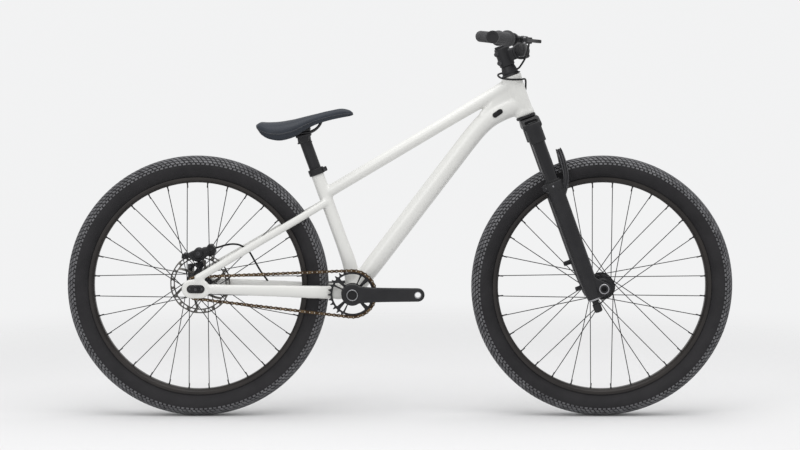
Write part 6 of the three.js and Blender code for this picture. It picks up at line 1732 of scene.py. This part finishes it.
# Seat: collar, post, rails, clamp and the padded saddle
seatSizes = {
    "collar": (327, 343.5, 17.3, 20.5), "ears": (29, 8), "post": (15.45, 212, 429), "head": (13, 18.2),
    "cradle": (40, 56, 7), "rail": 3.5, "railHeight": 13.5, "spacing": 22, "nose": 13,
    "rear": ((-88, 42), (-77.4, 27.75), (-61.6, 16.35)), "front": (60, 51),
    "frontShares": ((0.55, 0.5, 0.3), (1, 1, 1)), "tilt": radians(9),
}
saddleSizes = {
    "back": 116, "length": 252, "half": 68, "high": 60,
    # along, top and skirt height, and width
    "shares": [(0, 0.89, 0.745, 0.56), (0.05, 0.96, 0.4, 0.82), (0.13, 0.9, 0.177, 0.97),
               (0.24, 0.853, 0.06, 1), (0.37, 0.857, 0.117, 0.88), (0.49, 0.9, 0.333, 0.65),
               (0.62, 0.95, 0.503, 0.44), (0.755, 1, 0.582, 0.33), (0.885, 1, 0.612, 0.28),
               (0.965, 0.888, 0.62, 0.21), (1, 0.748, 0.648, 0.1)],
    "section": [(0, 1), (0.34, 0.985), (0.64, 0.93), (0.87, 0.8), (1, 0.5), (0.95, 0.12), (0.82, 0),
                (0.65, 0.3), (0.55, 0.5), (0, 0.55)],
    "pull": 2.2, "channel": 2.6,
}
perch = onSeat @ shift(0, 0, 429) @ seatTurn.inverted() @ Matrix.Rotation(-seatSizes["tilt"], 4, "Y")


def saddleSkin(s, stations=84, around=24):
    spine = splinePoints([Vector((a, top, skirt)) for a, top, skirt, _ in s["shares"]], stations)
    widths = splinePoints([Vector((a, w, 0)) for a, _, _, w in s["shares"]], 400)
    section = splinePoints([Vector((x, z, 0)) for x, z in s["section"]], around)
    rings = []
    for point in spine:
        along, top, skirt = point
        wide = min(widths, key=lambda p: abs(p.x - along)).y
        ring = []
        for side, share in [(1, p) for p in section] + [(-1, p) for p in reversed(section[1:-1])]:
            across, rise = max(share.x, 0), share.y
            z = mix(skirt, top, rise) * s["high"]
            y = side * across * wide * s["half"]
            if rise > 0.05 and share.y > 0.2:
                edge = exp(-((across - 0.93) / 0.06) ** 2 * (1 if rise < 0.75 else 9)) * (rise < 0.8)
                y -= side * s["pull"] * edge * exp(-((rise - 0.34) / 0.10) ** 2)
                fade = min(1, max(0, (along - 0.12) / 0.12)) * min(1, max(0, (0.86 - along) / 0.12))
                dip = exp(-(y / 7) ** 2) * fade
                z -= s["channel"] * dip * (rise > 0.6)
            ring.append(mm(-s["back"] + along * s["length"], y, z))
        rings.append(ring)
    return rings


def makeSaddle(s):
    rings = saddleSkin(s)
    corners, faces = loft(rings)
    skin = meshFrom("saddle", corners, faces, None, 50)
    skin.transform(perch)
    saddle = dress("saddleCover", [skin], cover, "seatpost", ["saddle"], sharpAngle=50)
    # the seam where the top panel meets the skirt, and its stitches
    around = len(rings[0])
    half = around // 2 + 1
    rim = min(range(half), key=lambda j: abs(rings[30][j].z - mix(min(p.z for p in rings[30]),
        max(p.z for p in rings[30]), 0.42)) + (0 if j < half * 0.6 else 1))
    line = [ring[rim] for ring in rings[2:-1]]
    mirrored = [Vector((p.x, -p.y, p.z)) for p in reversed(line)]
    seamLine = [p + Vector((0, 0.0002 * (1 if p.y > 0 else -1), 0)) for p in line + mirrored]
    seam = roundTube("seam", evenly(seamLine, 260), 0.75, 8)
    seam.transform(perch)
    dress("saddleSeam", [seam], seamFinish, "seatpost", (), sharpAngle=50)
    stitch = roundTube("stitch", [mm(-1.1, 0, 0), mm(0, 0, 0.25), mm(1.1, 0, 0)], 0.35, 6)
    spots, turns = [], []
    places = evenly([p + mm(0, 0.5 * (1 if p.y > 0 else -1), -2.4) for p in line], 92)
    for p, q in zip(places, places[1:]):
        spots.append((p + q) / 2)
        turns.append(-atan2(q.z - p.z, q.x - p.x))
    link = newObject("stitchLink", stitch)
    path = bpy.data.meshes.new("stitchPath")
    both = spots + [Vector((p.x, -p.y, p.z)) for p in spots]
    path.from_pydata(both, [], [])
    path.attributes.new("turn", "FLOAT", "POINT").data.foreach_set("value", turns * 2)
    sewn = joinMeshes("stitches", [repeated("stitches", path.copy(), onLinks, {
        "Link": link, "Odd": odd, "Material": seamFinish}, perch) for odd in (0, 1)])
    bpy.data.objects.remove(link)
    dress("saddleStitches", [sewn], seamFinish, "seatpost")


def makeRails(s):
    straight = s["cradle"][0] / 2 + s["rail"]
    meshes = []
    for side in (-1, 1):
        points = [Vector((x, side * s["spacing"], z)) for x, z in s["rear"]]
        points += [Vector((x, side * s["spacing"], s["railHeight"])) for x in (-straight, 0, straight)]
        reach, high = s["front"]
        for along, turnIn, rise in s["frontShares"]:
            points.append(Vector((mix(straight, reach, along), side * mix(s["spacing"], s["nose"], turnIn),
                mix(s["railHeight"], high, rise))))
        meshes.append(roundTube("rail", splinePoints([p / 1000 for p in points], 90), s["rail"], 20, perch))
    reach, high = s["front"]
    meshes.append(roundTube("railNose", [mm(reach, -s["nose"], high), mm(reach, 0, high),
        mm(reach, s["nose"], high)], s["rail"], 20, perch))
    dress("saddleRails", meshes, gloss, "seatpost", ["saddle_rails"])


def makePost(s):
    radius, low, high = s["post"]
    headR, headHalf = s["head"]
    atHead = onSeat @ shift(0, 0, high)
    parts = [turned("shaft", rounded(rod(radius, low, high), 1), onSeat, 64),
        turned("head", rounded(rod(headR, -headHalf, headHalf), 2), atHead @ alongY, 48)]
    length, width, thick = s["cradle"]
    top = s["railHeight"] - s["rail"] - 0.3
    parts.append(block("cradle", (-length / 2, -width / 2, top - thick),
        (length / 2, width / 2, top), perch, 2))
    grooves = [turned("railGroove", rod(s["rail"] + 0.3, -40, 40), perch @ shift(0, side * s["spacing"],
        s["railHeight"]) @ faceAhead, 28) for side in (-1, 1)]
    post = blended("post", parts, 0.0012, 4, grooves)
    dress("seatPost", post, satin, "seatpost", ["seatpost"])
    foot = s["railHeight"] + s["rail"] + 0.3
    lid = block("lid", (-length / 2, -width / 2, foot), (length / 2, width / 2, foot + thick), perch, 2)
    screws = []
    for way in (-1, 1):
        at = perch @ shift(way * 15, 0, 0)
        screws.append(turned("clampBolt",
            rounded([(0, -14.5), (4.2, -14.5), (4.2, -10.5), (2.5, -10.5), (2.5, foot), (0, foot)], 0.4),
            at, 24))
    dress("railClamp", [lid], satin, "seatpost", ["rail_clamp"])
    dress("railBolts", screws, darkSteel, "seatpost", ["rail_clamp"])


def makeCollar(s):
    low, high, bore, radius = s["collar"]
    reach, half = s["ears"]
    ring = turned("ring", rounded(rod(radius, low, high), 1), onSeat, 64)
    ears = block("ears", (10, -half, low + 1.5), (reach, half, high - 3), onSeat, 2)
    hole = turned("hole", rod(bore, low - past, high + past), onSeat, 56)
    slit = block("slit", (0, -1.25, low - past), (reach + past, 1.25, high + past), onSeat, 0)
    body = blended("collar", [ring, ears], 0.0008, 3, [hole, slit])
    dress("seatCollar", body, satin, "frame", ["seat_collar"])
    at = onSeat @ shift(reach - 6, -half + 1, (low + high) / 2 - 1) @ faceRight
    shank = turned("shank", rod(2.4, -18, 0), at, 20)
    dress("collarBolt", [bolt("collarBolt", 3.8, 4, at), shank], darkSteel, "frame")


makeSaddle(saddleSizes)
makeRails(seatSizes)
makePost(seatSizes)
makeCollar(seatSizes)
print("stage: seat")


# Rear brake and axle: rotor, caliper, bracket, tensioners, nuts
brakeSizes = {
    "rotor": (80, 13, 27, 7, 6, 17.5), "sweep": radians(24), "faces": (52.5, 54.5), "holes": 20,
    "slot": (17, 5.8, 6.9), "waves": (12, 0.7), "bolts": (6, 22, 2.4, 0.3),
    "caliper": Vector((-0.532, 0.0535, 0.423)), "turn": radians(12), "body": (62, 34, 36), "gap": (6, 8),
    "outline": [(-46, -4), (-44, 4), (-36, 9), (-28, 5), (-18, 8), (-8, 9), (4, 6), (14, 12), (24, 11),
                (30, 17), (40, 16), (47, 4), (46, -8), (38, -14), (22, -12), (10, -19), (-6, -22),
                (-18, -15), (-27, -6), (-38, -8)],
    "window": (20, 9), "boss": (14, 21), "banjo": 5.5, "screws": [(-38, 0), (36, 4)],
    "pad": (15, 1.2, 2.6, -16, 4),
    "bracket": (57.5, 63.0), "tabBolts": [(-24, 20), (-27, 44)],
    "bracketShape": [(-33, 11), (-24, 6), (-15, 11), (2, 34), (16, 56), (14, 62), (4, 60), (-20, 52),
                     (-33, 51)],
}


def armWindow(s, arm):
    outer, track, carrier, wide, arms, _ = s["rotor"]
    reach, step = outer - track, 2 * pi / arms
    points = []
    for edge, way in ((0, 1), (1, -1)):
        line = []
        for k in range(9):
            share = k / 8
            radius = mix(carrier, reach, share)
            half = wide / 2 / radius
            line.append((radius, arm * step + s["sweep"] * share ** 0.8
                + (half if edge == 0 else step - half)))
        points.append(line if way > 0 else line[::-1])
    outerArc = [(reach, mix(points[0][-1][1], points[1][0][1], k / 8)) for k in range(1, 8)]
    innerArc = [(carrier, mix(points[1][-1][1], points[0][0][1], k / 8)) for k in range(1, 8)]
    whole = points[0] + outerArc + points[1] + innerArc
    return [(r * cos(t), r * sin(t)) for r, t in whole]


def makeRotor(s):
    outer, _, _, _, arms, hole = s["rotor"]
    near, far = s["faces"]
    waves, deep = s["waves"]
    rim = [(outer - deep * (1 + cos(t * waves)) / 2, t) for t in allRound(240)]
    shape = [(r * cos(t), r * sin(t)) for r, t in rim]
    holes = [circle(0, 0, hole, 48)] + [armWindow(s, arm) for arm in range(arms)]
    long, wide, inset = s["slot"]
    radius = outer - inset
    for k in range(s["holes"]):
        turn = 2 * pi * k / s["holes"]
        holes.append(slot(long, wide, radius * cos(turn), radius * sin(turn), turn + pi / 2, 6))
    count, ringR, boltR, phase = s["bolts"]
    for k in range(count):
        turn = 2 * pi * k / count + phase
        holes.append(circle(ringR * cos(turn), ringR * sin(turn), boltR, 16))
    disc = plate("disc", shape, near, far, holes, onRear, 0.2)
    dress("brakeRotor", [disc], rotorSteel, "rear_wheel", ["brake_rotor"])
    screw = bolt("screw", boltR * 1.5, 1.6, shift(ringR, far, 0) @ alongY)
    screws = around("rotorScrews", screw, count, steel, onRear, -phase)
    dress("rotorScrews", [screws], steel, "rear_wheel")


def makeCaliper(s):
    at = Matrix.Translation(s["caliper"]) @ Matrix.Rotation(-s["turn"], 4, "Y")
    length, high, wide = s["body"]
    gap, bridge = s["gap"]
    body = plate("body", s["outline"][::-1], -wide / 2, wide / 2, edge=3)
    bossR, bossEnd = s["boss"]
    profile = [(0, -bossEnd), (bossR - 2, -bossEnd), (bossR, -bossEnd + 3), (bossR, bossEnd - 3),
        (bossR - 2, bossEnd), (0, bossEnd)]
    boss = turned("boss", rounded(profile, 1), alongY, 48)
    banjo = turned("banjo", rounded(rod(s["banjo"], -s["banjo"], s["banjo"]), 0.6),
        shift(length / 2 + 0.5, 0, bridge / 2) @ alongY, 32)
    cut = block("gap", (-50, -gap / 2, -40), (50, gap / 2, high / 2 - bridge), None, 0)
    long, across = s["window"]
    window = plate("window", slot(long, across, 0, high / 2 - 5, steps=8), -across, across)
    mesh = blended("caliper", [body, boss, banjo], 0.0011, 4, [cut, window])
    mesh.transform(at)
    dress("caliperBody", mesh, satin, "frame", ["brake_caliper"])
    screws = [bolt("caliperBolt", 4, 2.6, at @ shift(x, -wide / 2, z) @ faceRight) for x, z in s["screws"]]
    screws.append(bolt("bossCap", 6, 0.8, at @ shift(0, -bossEnd, 0) @ faceRight))
    half, inner, outer, low, top = s["pad"]
    pads = [block("pad", (-half, -outer, low), (half, -inner, top), at, 0.3),
        block("pad", (-half, inner, low), (half, outer, top), at, 0.3)]
    dress("caliperBolts", screws, darkSteel, "frame")
    dress("brakePads", pads, bronze, "frame", ())
    near, far = s["bracket"]
    (x, z), slotTurn = s["tabBolts"][0], 0.9
    holes = [circle(x, z, 3.2, 20), slot(16, 8, -16, 38, slotTurn)]
    bracket = plate("bracket", s["bracketShape"], near, far, holes, onRear, 0.8)
    dress("caliperBracket", [bracket], satin, "frame", ["caliper_bracket"])
    fixings = [bolt("tabBolt", 4, 3, Matrix.Translation(bike["rearAxle"] + mm(x, near, z)) @ faceRight)
        for x, z in s["tabBolts"]]
    dress("bracketBolts", fixings, darkSteel, "frame")


axleSizes = {
    "radius": 5, "end": 86.1, "spacer": (8, 56.8, 67.2, -67.2, -62.3), "nut": (9, 79.1, 86.1), "hole": 5.3,
    "washer": (9.8, -0.1, 1.3), "plate": (46, 21, 74.8, 78.8), "plateHole": 5.4, "screws": 15.5,
}


def makeAxle(s):
    spacerR, leftNear, leftFar, rightFar, rightNear = s["spacer"]
    end, radius = s["end"], s["radius"]
    profile = [(0, -end), (radius - 0.8, -end), (radius, -end + 1), (radius, rightFar), (spacerR, rightFar),
        (spacerR, rightNear), (radius, rightNear), (radius, leftNear), (spacerR, leftNear),
        (spacerR, leftFar), (radius, leftFar), (radius, end - 1), (radius - 0.8, end), (0, end)]
    dress("rearAxle", [turned("axle", rounded(profile, 0.3), onRear @ alongY, 32)], darkSteel,
        "frame", ["rear_axle"])
    radius, near, far = s["nut"]
    length, width, low, high = s["plate"]
    washerR, start, stop = s["washer"]
    for word, side in bothSides:
        nut = plate("nut", circle(0, 0, radius, 6), side * near, side * far,
            [circle(0, 0, s["hole"], 28)], onRear, 0.7)
        washer = turned("washer",
            rounded(pipe(s["hole"], washerR, side * (near + start), side * (near + stop)),
            0.3), onRear @ alongY, 36)
        dress("axleNut" + word, [nut, washer], satin, "frame", ["axle_nut_" + word.lower()])
        plateMesh = plate("tensioner", slot(length, width, steps=14), side * low, side * high,
            [circle(0, 0, s["plateHole"], 28)], onRear, 0.8)
        dress("chainTensioner" + word, [plateMesh], satin, "frame", ["chain_tensioner_" + word.lower()])
        screws = [bolt("tensionBolt", 3.0, 1.0, onRear @ shift(x, side * high, 0) @ faceOut[side])
            for x in (-s["screws"], s["screws"])]
        dress("tensionBolts" + word, screws, darkSteel, "frame")


makeRotor(brakeSizes)
makeCaliper(brakeSizes)
makeAxle(axleSizes)
print("stage: rear brake and axle")
